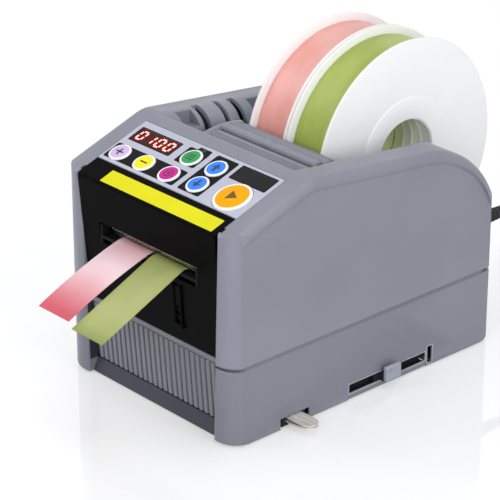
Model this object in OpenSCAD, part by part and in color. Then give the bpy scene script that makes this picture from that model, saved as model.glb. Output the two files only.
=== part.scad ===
// Counter-top electric tape dispenser: two ribbon reels at the back, rollers and a
// cutter inside, a sloping control panel and an outlet at the front.
// The front faces -Y, the origin is on the table under the middle of the housing.

/* [Housing] */
// Width of the housing, side to side
body_w = 140; // [138:1:150]
// Length of the housing, front to back
body_l = 200; // [196:1:215]
// Height of the front fold, where the sloping panel begins
fold_h = 120; // [118:1:126]
// Slope of the control panel in degrees
panel_tilt = 19; // [17:0.5:20]
// Distance from the front face to the crest of the panel
crest_run = 56; // [55:0.5:57]
// Fall of the top towards the rear in degrees
top_tilt = 6; // [5:0.5:7]
// Radius of the large upper rear corner
rear_r = 67; // [60:1:72]
// Radius of the upright corners
corner_r = 14; // [12:1:18]
// Radius of the long side edges of the top
edge_r = 9; // [7:1:10]
// Wall thickness of the casing
wall = 3; // [2.5:0.1:3.5]
// Height of the seam between the upper and lower housing
seam_z = 45; // [44:0.5:46]
// Width of the seam groove
seam_gap = 1.4; // [1:0.1:1.8]

/* [Front] */
// Half width of the front opening at the fold
open_top = 55.7; // [54:0.1:57]
// Half width of the front opening at the floor
open_low = 52; // [50:0.5:54]
// Lean of the black cover from its top to its lower edge
cover_lean = 5; // [4:0.5:6]
// Thickness of the black cover
cover_t = 2.5; // [2:0.1:3]
// Lower edge of the black cover
cover_low_z = 47; // [46.5:0.1:48]
// Length of the black band along the slope
band_l = 15; // [14.5:0.5:16]
// Half width of the outlet
outlet_hw = 39.5; // [38:0.5:41]
// Drop from the front fold to the lower edge of the outlet
outlet_drop = 36; // [35:0.5:37]
// Height of the outlet
outlet_h = 11.5; // [10:0.5:12]
// Number of upright ribs on the lower panel
rib_count = 24; // [16:1:30]
// Width of one rib
rib_w = 2; // [1.5:0.1:2.5]
// Height of the dark sill
sill_h = 8.4; // [7:0.2:9]

/* [Control panel] */
// Half width of the membrane
membrane_hw = 56; // [55:0.2:57]
// Lower edge of the membrane, measured up the slope from the fold
membrane_low = 15.3; // [15.1:0.1:16]
// Upper edge of the membrane, measured up the slope from the fold
membrane_high = 51.3; // [50:0.1:53]
// Thickness of the membrane
membrane_t = 0.8; // [0.6:0.1:1]
// Radius of the large start button
start_r = 10.9; // [9:0.1:11.2]
// Radius of the small buttons
key_r = 6.5; // [5.5:0.1:6.8]
// Travel of the buttons
key_travel = 1; // [0.6:0.1:1.2]
// Gap round each button
key_gap = 0.3; // [0.2:0.05:0.5]

/* [Ribbon] */
// Width of each ribbon
ribbon_w = 25; // [20:0.5:25.5]
// Thickness of each ribbon
ribbon_t = 0.4; // [0.3:0.05:0.5]
// Distance from the middle of the machine to the inner edge of each ribbon
ribbon_in = 1.2; // [0.8:0.1:1.6]
// Height of the ribbon at the cutter above the lower edge of the outlet
ribbon_rise = 5.3; // [5:0.1:5.6]
// Length of ribbon that hangs out, measured level from the cutter
tail_run = 58; // [40:1:65]

/* [Reels] */
// Radius of the reel flanges
flange_r = 66.5; // [62:0.5:67]
// Thickness of a flange
flange_t = 1.6; // [1.2:0.1:2]
// Radius of the ribbon wound on a reel
roll_r = 62; // [50:0.5:63]
// Radius of the hole through a reel
hub_r = 20.8; // [15:0.1:22]
// Radius of the reel core that the ribbon is wound on
core_r = 30; // [26:0.5:34]
// Half width of the reel bay
bay_hw = 43; // [42:0.5:44]
// Height of the bay floor
bay_z = 38; // [37:0.5:39]
// Height of the reel axis
reel_z = 111; // [110.5:0.1:112]
// Distance of the reel axis from the front face
reel_run = 164; // [163.5:0.1:166]
// Radius of the two rollers that carry the reels
cradle_r = 5; // [4:0.5:5.5]

/* [Drive] */
// Radius of the feed roller
feed_r = 10.2; // [9.5:0.1:10.4]
// Radius of the pinch roller
pinch_r = 7; // [6:0.1:7.2]
// Tooth module of the feed gears
gear_module = 1; // [0.9:0.05:1]
// Teeth of the feed gear
feed_teeth = 34; // [30:1:34]
// Teeth of the motor pinion
pinion_teeth = 14; // [12:1:14]
// Stroke of the cutter blade
blade_stroke = 4.5; // [4:0.1:5]
// Turn of the cam for a full stroke in degrees
cam_turn = 270; // [240:10:300]
// Clearance of the running shafts
run_gap = 0.06; // [0.05:0.01:0.1]

/* [Side fittings] */
// Height of the side slot
slot_z = 4.4; // [4:0.1:5]
// Height of the opening of the side slot
slot_h = 5.5; // [5:0.1:6]
// Distance of the slot's front end from the front face
slot_from = 85; // [82:1:88]
// Travel of the side catch each way
catch_travel = 18; // [16:0.5:18]
// Distance of the tweezers from the front face
tweezer_run = 45; // [42:1:48]
// Length of tweezers that stands out of the side
tweezer_out = 14; // [10:1:18]

/* [Cord] */
// Diameter of the cord
cord_d = 5.5; // [5:0.1:5.6]
// Distance of one turn of the coil from the next
turn_pitch = 6.2; // [6.1:0.1:6.5]
// Smallest radius of the coil, at the middle of the cord
coil_in = 22; // [22:0.5:24]

/* [Hidden] */
$fn = 48;
half_w = body_w / 2;
front_y = -body_l / 2;
rear_y = body_l / 2;
outlet_low = fold_h - outlet_drop;
ribbon_z = outlet_low + ribbon_rise;
feed_z = ribbon_z + 1.2;
crest_y = front_y + crest_run;
crest_z = fold_h + crest_run * tan(panel_tilt);
crest_round = 20;
low_z = 0.8;
cut = 0.01;
fit = 0.15;

// Places measured back from the front face
function back(run) = front_y + run;
deck_end = back(crest_run + 1.5);
bay_start = back(94.5);
reel_y = back(reel_run);
band_end = back(band_l * cos(panel_tilt));

housing_grey = [0.54, 0.55, 0.60];
dark_grey = [0.27, 0.28, 0.31];
soft_black = [0.06, 0.06, 0.07];
steel = [0.75, 0.76, 0.78];
white_plastic = [0.93, 0.93, 0.94];
pink_ribbon = [0.93, 0.60, 0.63];
green_ribbon = [0.66, 0.72, 0.42];

// Height of the sloping panel and of the top at a place along the machine
function panel_z(y) = fold_h + (y - front_y) * tan(panel_tilt);
function top_z(y) = crest_z - (y - crest_y) * tan(top_tilt);

// Point where the two top lines meet once both have moved inwards by k
function crest_point(k) =
    let (shift = k * (1 / cos(panel_tilt) - 1 / cos(top_tilt)) / (tan(panel_tilt) + tan(top_tilt)))
    [crest_y + shift, crest_z + shift * tan(panel_tilt) - k / cos(panel_tilt)];

function arc(centre, r, from, to, steps) =
    [for (i = [0:steps]) let (a = from + (to - from) * i / steps)
        [centre.x + r * cos(a), centre.y + r * sin(a)]];

rear_centre = [rear_y - rear_r, top_z(rear_y - rear_r) - rear_r / cos(top_tilt)];

// Side outline of the housing, moved inwards by k
function side_outline(k) = concat(
    [[front_y + k, -10],
     [front_y + k, fold_h + k * tan(panel_tilt) - k / cos(panel_tilt)]],
    arc(crest_point(crest_round), crest_round - k, 90 + panel_tilt, 90 - top_tilt, 4),
    arc(rear_centre, rear_r - k, 90 - top_tilt, 0, 14),
    [[rear_y - k, -10]]);

// The side outline swept across the machine with rounded long edges
module side_loft(k) {
    steps = 6;
    r = edge_r - k;
    half = half_w - k;
    left = [for (i = [0:steps]) let (a = 90 * i / steps) [r - half - r * cos(a), r * (1 - sin(a))]];
    right = [for (i = [steps:-1:0]) [-left[i].x, left[i].y]];
    rows = concat(left, right);
    n = len(side_outline(0));
    points = [for (row = rows) for (p = side_outline(k + row.y)) [row.x, p.x, p.y]];
    sides = [for (i = [0:len(rows) - 2]) for (j = [0:n - 1])
        [i * n + j, i * n + (j + 1) % n, (i + 1) * n + (j + 1) % n, (i + 1) * n + j]];
    caps = [[for (j = [n - 1:-1:0]) j], [for (j = [0:n - 1]) (len(rows) - 1) * n + j]];
    polyhedron(points, concat(sides, caps), convexity = 4);
}

// Rounded outline of the housing seen from above
module plan_2d(k) {
    x = half_w - k;
    y = body_l / 2 - k;
    r = corner_r - k;
    square([2 * x, 2 * (y - r)], center = true);
    square([2 * (x - r), 2 * y], center = true);
    for (sx = [-1, 1], sy = [-1, 1]) translate([sx * (x - r), sy * (y - r)]) circle(r);
}

module body_form(k) {
    intersection() {
        side_loft(k);
        translate([0, 0, -9]) linear_extrude(180) plan_2d(k);
    }
}

// Space of the front opening, grown sideways by g
module front_zone(g) {
    translate([0, band_end, 0]) rotate([90, 0, 0]) linear_extrude(band_end - front_y + 1)
        polygon([[-open_low - g, -10], [open_low + g, -10], [open_top + g, fold_h],
                 [open_top + g, 200], [-open_top - g, 200], [-open_top - g, fold_h]]);
}

// Space between the side arms, with their rounded inner shoulders, grown by g
shoulder_r = 14;
module bay_zone(g) {
    translate([-bay_hw - g, bay_start - g, bay_z - g]) cube([2 * (bay_hw + g), 200, 200]);
    translate([-bay_hw - g, deck_end - g, cover_floor - g])
        cube([2 * (bay_hw + g), bay_start - deck_end + g, 100]);
    translate([0, deck_end - g, top_z(deck_end)]) rotate([-top_tilt, 0, 0])
        rotate([90, 0, 0]) mirror([0, 0, 1]) linear_extrude(200) difference() {
            translate([-bay_hw - shoulder_r, 1 - shoulder_r])
                square([2 * (bay_hw + shoulder_r), 80]);
            for (s = [-1, 1]) translate([s * (bay_hw + shoulder_r), -shoulder_r])
                circle(shoulder_r - g);
        }
}
cover_floor = feed_z + 9.5;

// Slots and pockets in the inner shoulders
slot_runs = [[80.5, 5], [96.5, 3.4], [106.7, 4.8]];
module shoulder_cuts() {
    for (s = [-1, 1]) {
        for (slot = slot_runs)
            translate([s * (bay_hw + 6), back(slot[0] + slot[1] / 2), top_z(back(slot[0])) - 7])
                cube([16, slot[1], 20], center = true);
    }
}
// Two shallow pockets in each shoulder, grown by g: place, length and depth
pockets = [[66.5, 11, 9], [118.5, 15, 8]];
module shoulder_pockets(g) {
    for (s = [-1, 1], p = pockets)
        translate([s * (bay_hw + 3), back(p[0] + p[1] / 2), top_z(back(p[0])) + 10 - p[2] / 2])
            cube([14 + 2 * g, p[1] + 2 * g, 20 + p[2] + 2 * g], center = true);
}

// Frame of the sloping panel: x across, y up the slope, z out of the surface
module on_panel() {
    translate([0, front_y, fold_h]) rotate([panel_tilt, 0, 0]) children();
}

key_places = [["plus", -46.8, 24], ["minus", -26.9, 24], ["select", -6.5, 24],
              ["mode", -5.8, 39.9], ["up", 14.2, 39.9], ["down", 14.9, 25.4]];
start_place = [40.6, 27];
lamp_place = [-3.5, 47.6];
lamp_r = 1.4;
display_box = [-51.8, 35.6, 31.8, 10.2];
window_box = [26.5, 38.7, 25.9, 9.8];
pocket_gap = 0.45;

// Holes for the buttons, the lamp and the two windows, grown by g
module panel_holes(g) {
    for (k = key_places) translate([k[1], k[2], -20]) cylinder(r = key_r + g, h = 30);
    translate([start_place.x, start_place.y, -20]) cylinder(r = start_r + g, h = 30);
    translate([lamp_place.x, lamp_place.y, -20]) cylinder(r = lamp_r + 0.1, h = 30, $fn = 24);
    for (b = [display_box, window_box])
        translate([b[0] - 0.1, b[1] - 0.1, -20]) cube([b[2] + 0.2, b[3] + 0.2, 30]);
}

relief_x = 54;
relief_z = 69;
switch_x = 52;
switch_z = 26;
tweezer_y = back(tweezer_run);
// The catch has a shoulder each side behind the wall; the slot is as long as its travel asks
catch_w = 11.5;
catch_shoulder = 4;
slot_to = slot_from + catch_w + 2 * (catch_shoulder + catch_travel) + 3.5;
slot_mid = back((slot_from + slot_to) / 2);

// The whole casing before it is split at the seam
module casing() {
    difference() {
        body_form(0);
        difference() {
            body_form(wall);
            front_zone(wall);
            bay_zone(wall);
            shoulder_pockets(1.6);
        }
        front_zone(0);
        bay_zone(0);
        shoulder_pockets(0);
        translate([-bay_hw, deck_end, cover_floor - wall - 1])
            cube([2 * bay_hw, bay_start - wall - deck_end, wall + 2]);
        // Passages of the ribbon through the wall of the bay and the wall of the deck
        translate([-ribbon_hw, bay_start - wall - 1, feed_z - feed_r - 2])
            cube([2 * ribbon_hw, wall + 2, 2 * feed_r + 5]);
        translate([-ribbon_hw, deck_end - wall - 1, cover_floor - wall - 1])
            cube([2 * ribbon_hw, wall + 2, 9]);
        shoulder_cuts();
        on_panel() {
            translate([-membrane_hw - fit, membrane_low - fit, -membrane_t])
                cube([2 * (membrane_hw + fit), membrane_high - membrane_low + 2 * fit, 5]);
            panel_holes(pocket_gap);
        }
        // Slot of the catch, slit behind it, notch of the tweezers
        translate([half_w - 6, back(slot_from), slot_z]) cube([12, slot_to - slot_from, slot_h]);
        translate([half_w - 6, back(145.5), 2.3]) cube([12, 3.8, 10.3]);
        translate([half_w - 6, tweezer_y - 10.5, low_z - 1]) cube([12, 21, 7.4]);
        // Openings at the rear for the cord and the switch
        translate([relief_x, rear_y - 8, relief_z]) rotate([-90, 0, 0]) cylinder(d = 7.6, h = 16);
        translate([switch_x, rear_y - 2, switch_z]) cube([13.2, 12, 19.2], center = true);
        // Bores for the axles of the carrying rollers
        for (c = cradle_places) translate([0, c.x, c.y]) rotate([0, 90, 0])
            cylinder(r = axle_r + run_gap, h = 2 * (bay_hw + wall) + 2, center = true);
    }
}
ribbon_hw = 34;
axle_r = 2;

// The reels stand on two rollers, one each side below their axis
cradle_angle = 25;
cradle_gap = 0.3;
cradle_reach = flange_r + cradle_r + cradle_gap;
cradle_places = [for (s = [-1, 1])
    [reel_y + s * cradle_reach * sin(cradle_angle), reel_z - cradle_reach * cos(cradle_angle)]];

module upper_housing() {
    color(housing_grey) intersection() {
        casing();
        translate([-100, -150, seam_z + seam_gap / 2]) cube([200, 300, 120]);
    }
}

lip_h = 5;
module lower_housing() {
    color(housing_grey) {
        intersection() {
            casing();
            translate([-100, -150, low_z]) cube([200, 300, seam_z - seam_gap / 2 - low_z]);
        }
        // Lip that locates the upper housing
        intersection() {
            difference() {
                body_form(wall + fit);
                body_form(wall + fit + 1.6);
                front_zone(wall);
                bay_zone(wall);
            }
            translate([-100, -150, seam_z - seam_gap / 2 - lip_h]) cube([200, 300, 2 * lip_h]);
        }
        intersection() {
            difference() {
                body_form(wall - cut);
                body_form(wall + fit + 1.6);
                front_zone(wall);
                bay_zone(wall);
            }
            translate([-100, -150, seam_z - seam_gap / 2 - lip_h]) cube([200, 300, lip_h - 1]);
        }
        for (p = boss_places) translate([p.x, p.y, base_t]) difference() {
            cylinder(d = 7, h = bay_z - wall - base_t + cut);
            translate([0, 0, -1]) cylinder(d = 2.4, h = 14, $fn = 24);
        }
    }
}

base_t = 3;
boss_places = [[-34, back(150)], [34, back(150)], [-34, back(112)], [34, back(112)]];
foot_places = [for (sx = [-1, 1], y = [back(28), rear_y - 22]) [sx * 52, y]];
foot_d = 14;
foot_t = 1.6;
head_top = 1.3;
module base_plate() {
    color(dark_grey) difference() {
        intersection() {
            linear_extrude(base_t) plan_2d(wall + 0.4);
            translate([-100, back(20), -1]) cube([200, 200, 10]);
        }
        for (p = foot_places) translate([p.x, p.y, -1]) cylinder(d = foot_d + 2 * fit, h = 1 + foot_t);
        for (p = boss_places) translate([p.x, p.y, -1]) {
            cylinder(d = 3.2, h = 10, $fn = 24);
            cylinder(d = 6.4, h = 1 + head_top);
        }
        translate([sleeve_x - 0.5, tweezer_y - 9, -1]) cube([40, 18, 10]);
        translate([half_w - 14, tweezer_y - 11, -1]) cube([20, back(slot_to) + 6 - tweezer_y + 11, 10]);
    }
}

module rubber_feet() {
    color([0.12, 0.12, 0.12]) for (p = foot_places) translate([p.x, p.y, 0])
        cylinder(d = foot_d, h = foot_t - fit);
}

module base_screws() {
    color(steel) for (p = boss_places) translate([p.x, p.y, 0]) difference() {
        union() {
            translate([0, 0, 0.2]) cylinder(d = 5.6, h = head_top - 0.2);
            translate([0, 0, 0.3]) cylinder(d = 2.4, h = 12, $fn = 24);
        }
        for (a = [0, 90]) rotate([0, 0, a]) translate([0, 0, 0.4]) cube([3.4, 0.8, 1], center = true);
    }
}

// Black cover: a bent sheet over the front and the first part of the slope
cover_top = fold_h;
function cover_y(z) = front_y + cover_lean * (cover_top - z) / (cover_top - cover_low_z);
slope_back = cover_t / cos(panel_tilt);
module cover_sheet(t) {
    rotate([90, 0, 90]) linear_extrude(120, center = true)
        polygon([[cover_y(cover_low_z), cover_low_z], [front_y, fold_h], [band_end, panel_z(band_end)],
                 [band_end, panel_z(band_end) - t], [front_y + t, panel_z(front_y + t) - t],
                 [cover_y(cover_low_z) + t, cover_low_z]]);
}
// Sheet trimmed to the tapering front opening, with clearance g
module front_trim(g, low, high) {
    translate([0, back(80), 0]) rotate([90, 0, 0]) linear_extrude(120)
        polygon([[-open_low + g - low * taper, low], [open_low - g + low * taper, low],
                 [open_top - g, fold_h], [open_top - g, high], [-open_top + g, high],
                 [-open_top + g, fold_h]]);
}
taper = (open_top - open_low) / fold_h;
module front_cover() {
    color(soft_black) difference() {
        intersection() {
            cover_sheet(slope_back);
            front_trim(fit, cover_low_z, 160);
        }
        translate([-outlet_hw, front_y - 5, outlet_low]) cube([2 * outlet_hw, 20, outlet_h]);
        for (s = [-1, 1]) translate([s * open_top, back(5), fold_h]) cube([5, 3.2, 12], center = true);
    }
}

// Ribbed grey panel below the black cover
panel_top_z = 46.6;
panel_low_z = sill_h + 0.6;
panel_in = 8;
panel_lean = (panel_in - cover_lean) / (panel_top_z - panel_low_z);
function ribbed_y(z) = front_y + cover_lean + panel_lean * (panel_top_z - z);
rib_span = 100;
rib_proud = 1.1;
module ribbed_panel() {
    color(housing_grey * 0.85) {
        intersection() {
            rotate([90, 0, 90]) linear_extrude(120, center = true)
                polygon([[ribbed_y(panel_top_z), panel_top_z], [ribbed_y(panel_top_z) + 3, panel_top_z],
                         [ribbed_y(panel_low_z) + 3, panel_low_z], [ribbed_y(panel_low_z), panel_low_z]]);
            front_trim(fit, panel_low_z - 1, panel_top_z + 1);
        }
        intersection() {
            rotate([90, 0, 90]) linear_extrude(120, center = true)
                polygon([[ribbed_y(panel_top_z - 3) - rib_proud, panel_top_z - 3],
                         [ribbed_y(panel_top_z - 3) + 1, panel_top_z - 3],
                         [ribbed_y(panel_low_z) + 1, panel_low_z],
                         [ribbed_y(panel_low_z) - rib_proud, panel_low_z]]);
            for (i = [0:rib_count - 1])
                translate([(i + 0.5) * rib_span / rib_count - rib_span / 2, back(5), 28])
                    cube([rib_w, 20, 60], center = true);
        }
    }
}

module front_sill() {
    color(dark_grey) intersection() {
        rotate([90, 0, 90]) linear_extrude(120, center = true)
            polygon([[back(4.6), low_z], [back(panel_in), sill_h], [back(19), sill_h], [back(19), low_z]]);
        front_trim(fit, 0, sill_h + 2);
    }
}

module membrane_panel() {
    color([0.80, 0.80, 0.86]) on_panel() difference() {
        translate([-membrane_hw, membrane_low, -membrane_t + cut])
            cube([2 * membrane_hw, membrane_high - membrane_low, membrane_t]);
        panel_holes(key_gap);
    }
}

// A push button: a shallow cap on a short stem
cap_top = 0.8;
cap_low = 1.6;
board_depth = 8.4;
switch_h = 1.3;
stem_end = board_depth - switch_h - key_travel - 0.5;
module push_button(x, y, r, tint) {
    color(tint) on_panel() translate([x, y, 0]) {
        translate([0, 0, -cap_low]) cylinder(r = r, h = cap_low + cap_top - 0.3);
        translate([0, 0, cap_top - 0.3 - cut]) cylinder(r = r - 0.5, h = 0.3);
        translate([0, 0, -stem_end]) cylinder(r = 2, h = stem_end - cap_low + cut, $fn = 24);
    }
}
module key_button(i, tint) push_button(key_places[i][1], key_places[i][2], key_r, tint);
module plus_button() key_button(0, [0.84, 0.73, 0.90]);
module minus_button() key_button(1, [0.97, 0.91, 0.15]);
module select_button() key_button(2, [0.82, 0.14, 0.55]);
module mode_button() key_button(3, [0.20, 0.62, 0.35]);
module up_button() key_button(4, [0.22, 0.52, 0.95]);
module down_button() key_button(5, [0.22, 0.52, 0.95]);
module start_button() push_button(start_place.x, start_place.y, start_r, [0.98, 0.65, 0.05]);

module window_lens(b) {
    translate([b[0], b[1], -2]) cube([b[2], b[3], 2]);
}
module display_window() {
    color([0.35, 0.02, 0.03]) on_panel() window_lens(display_box);
}
module side_window() {
    color(soft_black) on_panel() window_lens(window_box);
}

board_t = 1.6;
board_posts = [[-36.8, 30.2], [4.4, 32], [25.5, 33.2]];
module display_module() {
    color([0.85, 0.85, 0.82]) on_panel()
        translate([display_box[0] + 0.6, display_box[1] + 0.2, -board_depth + cut])
            cube([display_box[2] - 1.2, display_box[3] - 0.4, board_depth - 2.1]);
}

module control_board() {
    color([0.10, 0.38, 0.20]) on_panel() {
        translate([-54, 18, -board_depth - board_t]) cube([108, 31, board_t]);
        for (k = concat([for (p = key_places) [p[1], p[2]]], [start_place]))
            translate([k.x, k.y, -board_depth - cut]) {
                translate([-3, -3, 0]) cube([6, 6, 0.9]);
                cylinder(d = 3.4, h = switch_h, $fn = 24);
            }
        for (p = board_posts) translate([p.x, p.y, -board_depth - cut])
            cylinder(d = 4, h = board_depth - wall + cut, $fn = 24);
        translate([lamp_place.x, lamp_place.y, -board_depth - cut])
            cylinder(r = lamp_r, h = board_depth + 0.2, $fn = 24);
        translate([30, 40, -board_depth - board_t - 2.4]) cube([14, 7, 2.4 + cut]);
    }
}

// Steel side frames of the mechanism
frame_x = 38;
frame_t = 2;
frame_low_top = cover_floor - wall - 0.7;
feed_y = back(84);
nip_side = 0.3;
pinch_z = feed_z + feed_r + 2 * nip_side + ribbon_t + pinch_r;
gear_reach = gear_module * (feed_teeth + pinion_teeth) / 2;
gear_angle = 45;
motor_y = feed_y - gear_reach * cos(gear_angle);
motor_z = feed_z - gear_reach * sin(gear_angle);
hinge_y = back(66);
hinge_z = fold_h + 2;
shaft_r = 3;
pin_r = 1.5;
bush_r = 5;
module frame_plate() {
    rotate([90, 0, 90]) linear_extrude(frame_t) polygon([
        [back(20.5), base_t], [back(91), base_t], [back(91), feed_z + 5.5],
        [back(76), hinge_z - 10], [back(72), hinge_z + 4], [back(61), hinge_z + 4],
        [deck_end + 0.7, hinge_z], [deck_end + 0.7, frame_low_top], [back(12), frame_low_top],
        [back(12), 36], [back(20.5), 28]]);
    translate([frame_t / 2, back(24), base_t]) cube([6 + frame_t / 2, 56, frame_t]);
}
module frame_bores() {
    translate([0, feed_y, feed_z]) rotate([0, 90, 0]) cylinder(r = bush_r, h = 20, center = true);
    translate([0, hinge_y, hinge_z]) rotate([0, 90, 0]) cylinder(r = pin_r + run_gap, h = 20, center = true);
}
module left_frame() {
    color(steel) difference() {
        translate([-frame_x - frame_t, 0, 0]) {
            frame_plate();
        }
        translate([-frame_x, 0, 0]) frame_bores();
    }
}
module right_frame() {
    color(steel) difference() {
        translate([frame_x + frame_t, 0, 0]) mirror([1, 0, 0]) frame_plate();
        translate([frame_x, 0, 0]) frame_bores();
        translate([frame_x, motor_y, motor_z]) rotate([0, 90, 0]) cylinder(r = 4, h = 20, center = true);
    }
}

module roller_bushes() {
    color([0.72, 0.55, 0.30]) for (s = [-1, 1])
        translate([s * (frame_x + frame_t / 2), feed_y, feed_z]) rotate([0, 90, 0]) difference() {
            cylinder(r = bush_r, h = frame_t + 1, center = true);
            cylinder(r = shaft_r + run_gap, h = 10, center = true);
        }
}

gear_x = bay_hw + wall + 1.5;
gear_w = 5;
module feed_shaft() {
    color(steel) translate([-frame_x - frame_t - 2, feed_y, feed_z]) rotate([0, 90, 0])
        cylinder(r = shaft_r, h = gear_x + gear_w + 2 + frame_x + frame_t + 2);
}
module feed_roller() {
    color([0.15, 0.15, 0.16]) translate([0, feed_y, feed_z]) rotate([0, 90, 0]) difference() {
        cylinder(r = feed_r, h = 2 * (ribbon_hw - 2), center = true);
        cylinder(r = shaft_r, h = 100, center = true);
    }
}

// Spur gear as one outline: each tooth is a trapezium on the root circle
module spur_gear(teeth, bore_r) {
    root = gear_module * (teeth - 2.6) / 2;
    tip = gear_module * (teeth + 1.7) / 2;
    step = 360 / teeth;
    outline = [for (i = [0:teeth - 1]) for (t = [[root, -0.30], [tip, -0.13], [tip, 0.13], [root, 0.30]])
        let (a = (i + t[1]) * step) [t[0] * cos(a), t[0] * sin(a)]];
    linear_extrude(gear_w) difference() {
        polygon(outline);
        circle(bore_r);
    }
}
module feed_gear() {
    color([0.88, 0.87, 0.82]) translate([gear_x, feed_y, feed_z]) rotate([0, 90, 0])
        rotate([0, 0, gear_angle]) spur_gear(feed_teeth, shaft_r);
}
pinion_shaft_r = 1.6;
module motor_pinion() {
    color([0.80, 0.66, 0.35]) translate([0, motor_y, motor_z]) rotate([0, 90, 0]) {
        translate([0, 0, gear_x]) rotate([0, 0, gear_angle + 180 + 180 / pinion_teeth])
            spur_gear(pinion_teeth, pinion_shaft_r - cut);
        translate([0, 0, frame_x - 4]) cylinder(r = pinion_shaft_r, h = gear_x + gear_w + 6 - frame_x);
    }
}
motor_r = 12.5;
motor_l = 36;
module feed_motor() {
    color([0.70, 0.71, 0.73]) translate([frame_x, motor_y, motor_z]) rotate([0, -90, 0]) difference() {
        union() {
            cylinder(r = motor_r, h = motor_l);
            translate([0, 0, motor_l - cut]) cylinder(r = 5, h = 3);
        }
        translate([0, 0, -1]) cylinder(r = pinion_shaft_r + run_gap, h = 6);
    }
}

// Hinged cover over the rollers
cover_hw = 34.8;
cover_front = 68.5;
cover_rear = 98.3;
cover_z = top_z(back(84.5)) - 5.3;
lid_r = 62;
lid_arc = arc([back(84.5), cover_z - lid_r], lid_r, 104, 77.3, 8);
// Outline of a band that follows the lid between two heights above it
function lid_band(high, low) = concat([for (p = lid_arc) [p.x, p.y + high]],
    [for (i = [len(lid_arc) - 1:-1:0]) [lid_arc[i].x, lid_arc[i].y + low]]);
module roller_cover() {
    color(housing_grey) difference() {
        union() {
            rotate([90, 0, 90]) linear_extrude(2 * cover_hw, center = true)
                polygon(lid_band(0, -3.2));
            // Finger bar, thin ribs and side rails
            translate([0, back(84.5), cover_z - 0.6]) rotate([0, 90, 0])
                cylinder(r = 2.6, h = 2 * cover_hw - 6, center = true);
            translate([cover_collar, back(84.5), cover_z - 0.6]) rotate([0, 90, 0])
                cylinder(r = 3, h = 5, center = true);
            for (run = [71.5, 73.4, 89.2, 91.2, 93.2])
                translate([0, back(run), lid_top(run)]) cube([2 * cover_hw - 6, 1.1, 1.6], center = true);
            for (s = [-1, 1]) rotate([90, 0, 90]) translate([0, 0, s * (cover_hw - 1.4)])
                linear_extrude(2.8, center = true) polygon(lid_band(1.6, -1));
            // Cheeks that carry the pinch roller and the hinge
            translate([0, hinge_y, hinge_z]) rotate([0, 90, 0])
                cylinder(r = pin_r, h = 2 * (frame_x + frame_t), center = true);
            for (s = [-1, 1]) translate([s * (cover_hw - 1), 0, 0]) rotate([90, 0, 90])
                linear_extrude(2, center = true) polygon([
                    [back(cover_front + 1), 126.6], [hinge_y + 0.5, hinge_z + 3.6],
                    [hinge_y - 3.6, hinge_z + 1], [hinge_y - 3.6, hinge_z - 2],
                    [hinge_y, hinge_z - 3.6], [feed_y - 6, pinch_z - 4], [feed_y, pinch_z - 5],
                    [feed_y + 5, pinch_z - 2], [back(92), 126]]);
        }
        translate([0, feed_y, pinch_z]) rotate([0, 90, 0])
            cylinder(r = pin_r + run_gap, h = 100, center = true);
    }
}
cover_collar = 4;
function lid_top(run) = cover_z - lid_r + sqrt(lid_r * lid_r - pow(run - 84.5, 2));
module pinch_roller() {
    color([0.20, 0.20, 0.21]) translate([0, feed_y, pinch_z]) rotate([0, 90, 0]) {
        cylinder(r = pinch_r, h = 2 * (ribbon_hw - 4), center = true);
        cylinder(r = pin_r, h = 2 * cover_hw, center = true);
    }
}

// Cutter: a cam pushes a sliding carrier with the toothed blade down
blade_y = back(7.5);
blade_t = 1.2;
blade_hw = 37;
blade_tip = ribbon_z + 1;
blade_teeth = 37;
tooth_h = 1.3;
blade_h = 11;
module moving_blade() {
    pitch = 2 * blade_hw / blade_teeth;
    teeth = [for (i = [0:blade_teeth - 1]) for (t = [[0, tooth_h], [0.5, 0]])
        [-blade_hw + (i + t[0]) * pitch, t[1]]];
    color([0.88, 0.89, 0.90]) translate([0, blade_y + blade_t, blade_tip]) rotate([90, 0, 0])
        linear_extrude(blade_t)
            polygon(concat(teeth, [[blade_hw, tooth_h], [blade_hw, blade_h], [-blade_hw, blade_h]]));
}
carrier_y = blade_y + blade_t;
carrier_hw = blade_hw - 0.5;
carrier_w = 8.5;
carrier_d = 9;
bar_low = blade_tip + 6.5;
bar_top = blade_tip + 13;
foot_bar_z = 58;
foot_bar_h = 6;
rod_x = 32.2;
rod_y = carrier_y + 6;
rod_r = 2;
cam_small = 5;
cam_gap = 0.3;
cam_z = foot_bar_z + foot_bar_h + cam_small + cam_gap;
cam_y = carrier_y + 1;
cam_w = 5;
module blade_carrier() {
    color(dark_grey) difference() {
        union() {
            translate([-carrier_hw, carrier_y, bar_low]) cube([2 * carrier_hw, carrier_d, bar_top - bar_low]);
            translate([-carrier_hw, carrier_y + 1, foot_bar_z])
                cube([2 * carrier_hw, carrier_d - 1, foot_bar_h]);
            for (s = [-1, 1]) translate([s * rod_x, carrier_y + 3.6, foot_bar_z])
                translate([-carrier_w / 2, 0, 0]) cube([carrier_w, carrier_d - 3.6, bar_top - foot_bar_z]);
        }
        for (s = [-1, 1]) translate([s * rod_x, rod_y, 0]) cylinder(r = rod_r + run_gap, h = 200);
    }
}
module guide_rods() {
    color(steel) for (s = [-1, 1]) translate([s * rod_x, rod_y, rod_low])
        cylinder(r = rod_r, h = bar_top + 3 - rod_low);
}
rod_low = 40;
base_bar_h = 6;
module cutter_base() {
    color([0.60, 0.61, 0.63]) difference() {
        translate([-frame_x, carrier_y + 0.5, rod_low]) cube([2 * frame_x, carrier_d + 1, base_bar_h]);
        for (s = [-1, 1]) translate([s * rod_x, rod_y, 0]) cylinder(r = rod_r, h = 100);
    }
}
spring_turns = 6;
spring_wire = 0.9;
spring_coil_r = 3.2;
spring_steps = 14;
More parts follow.
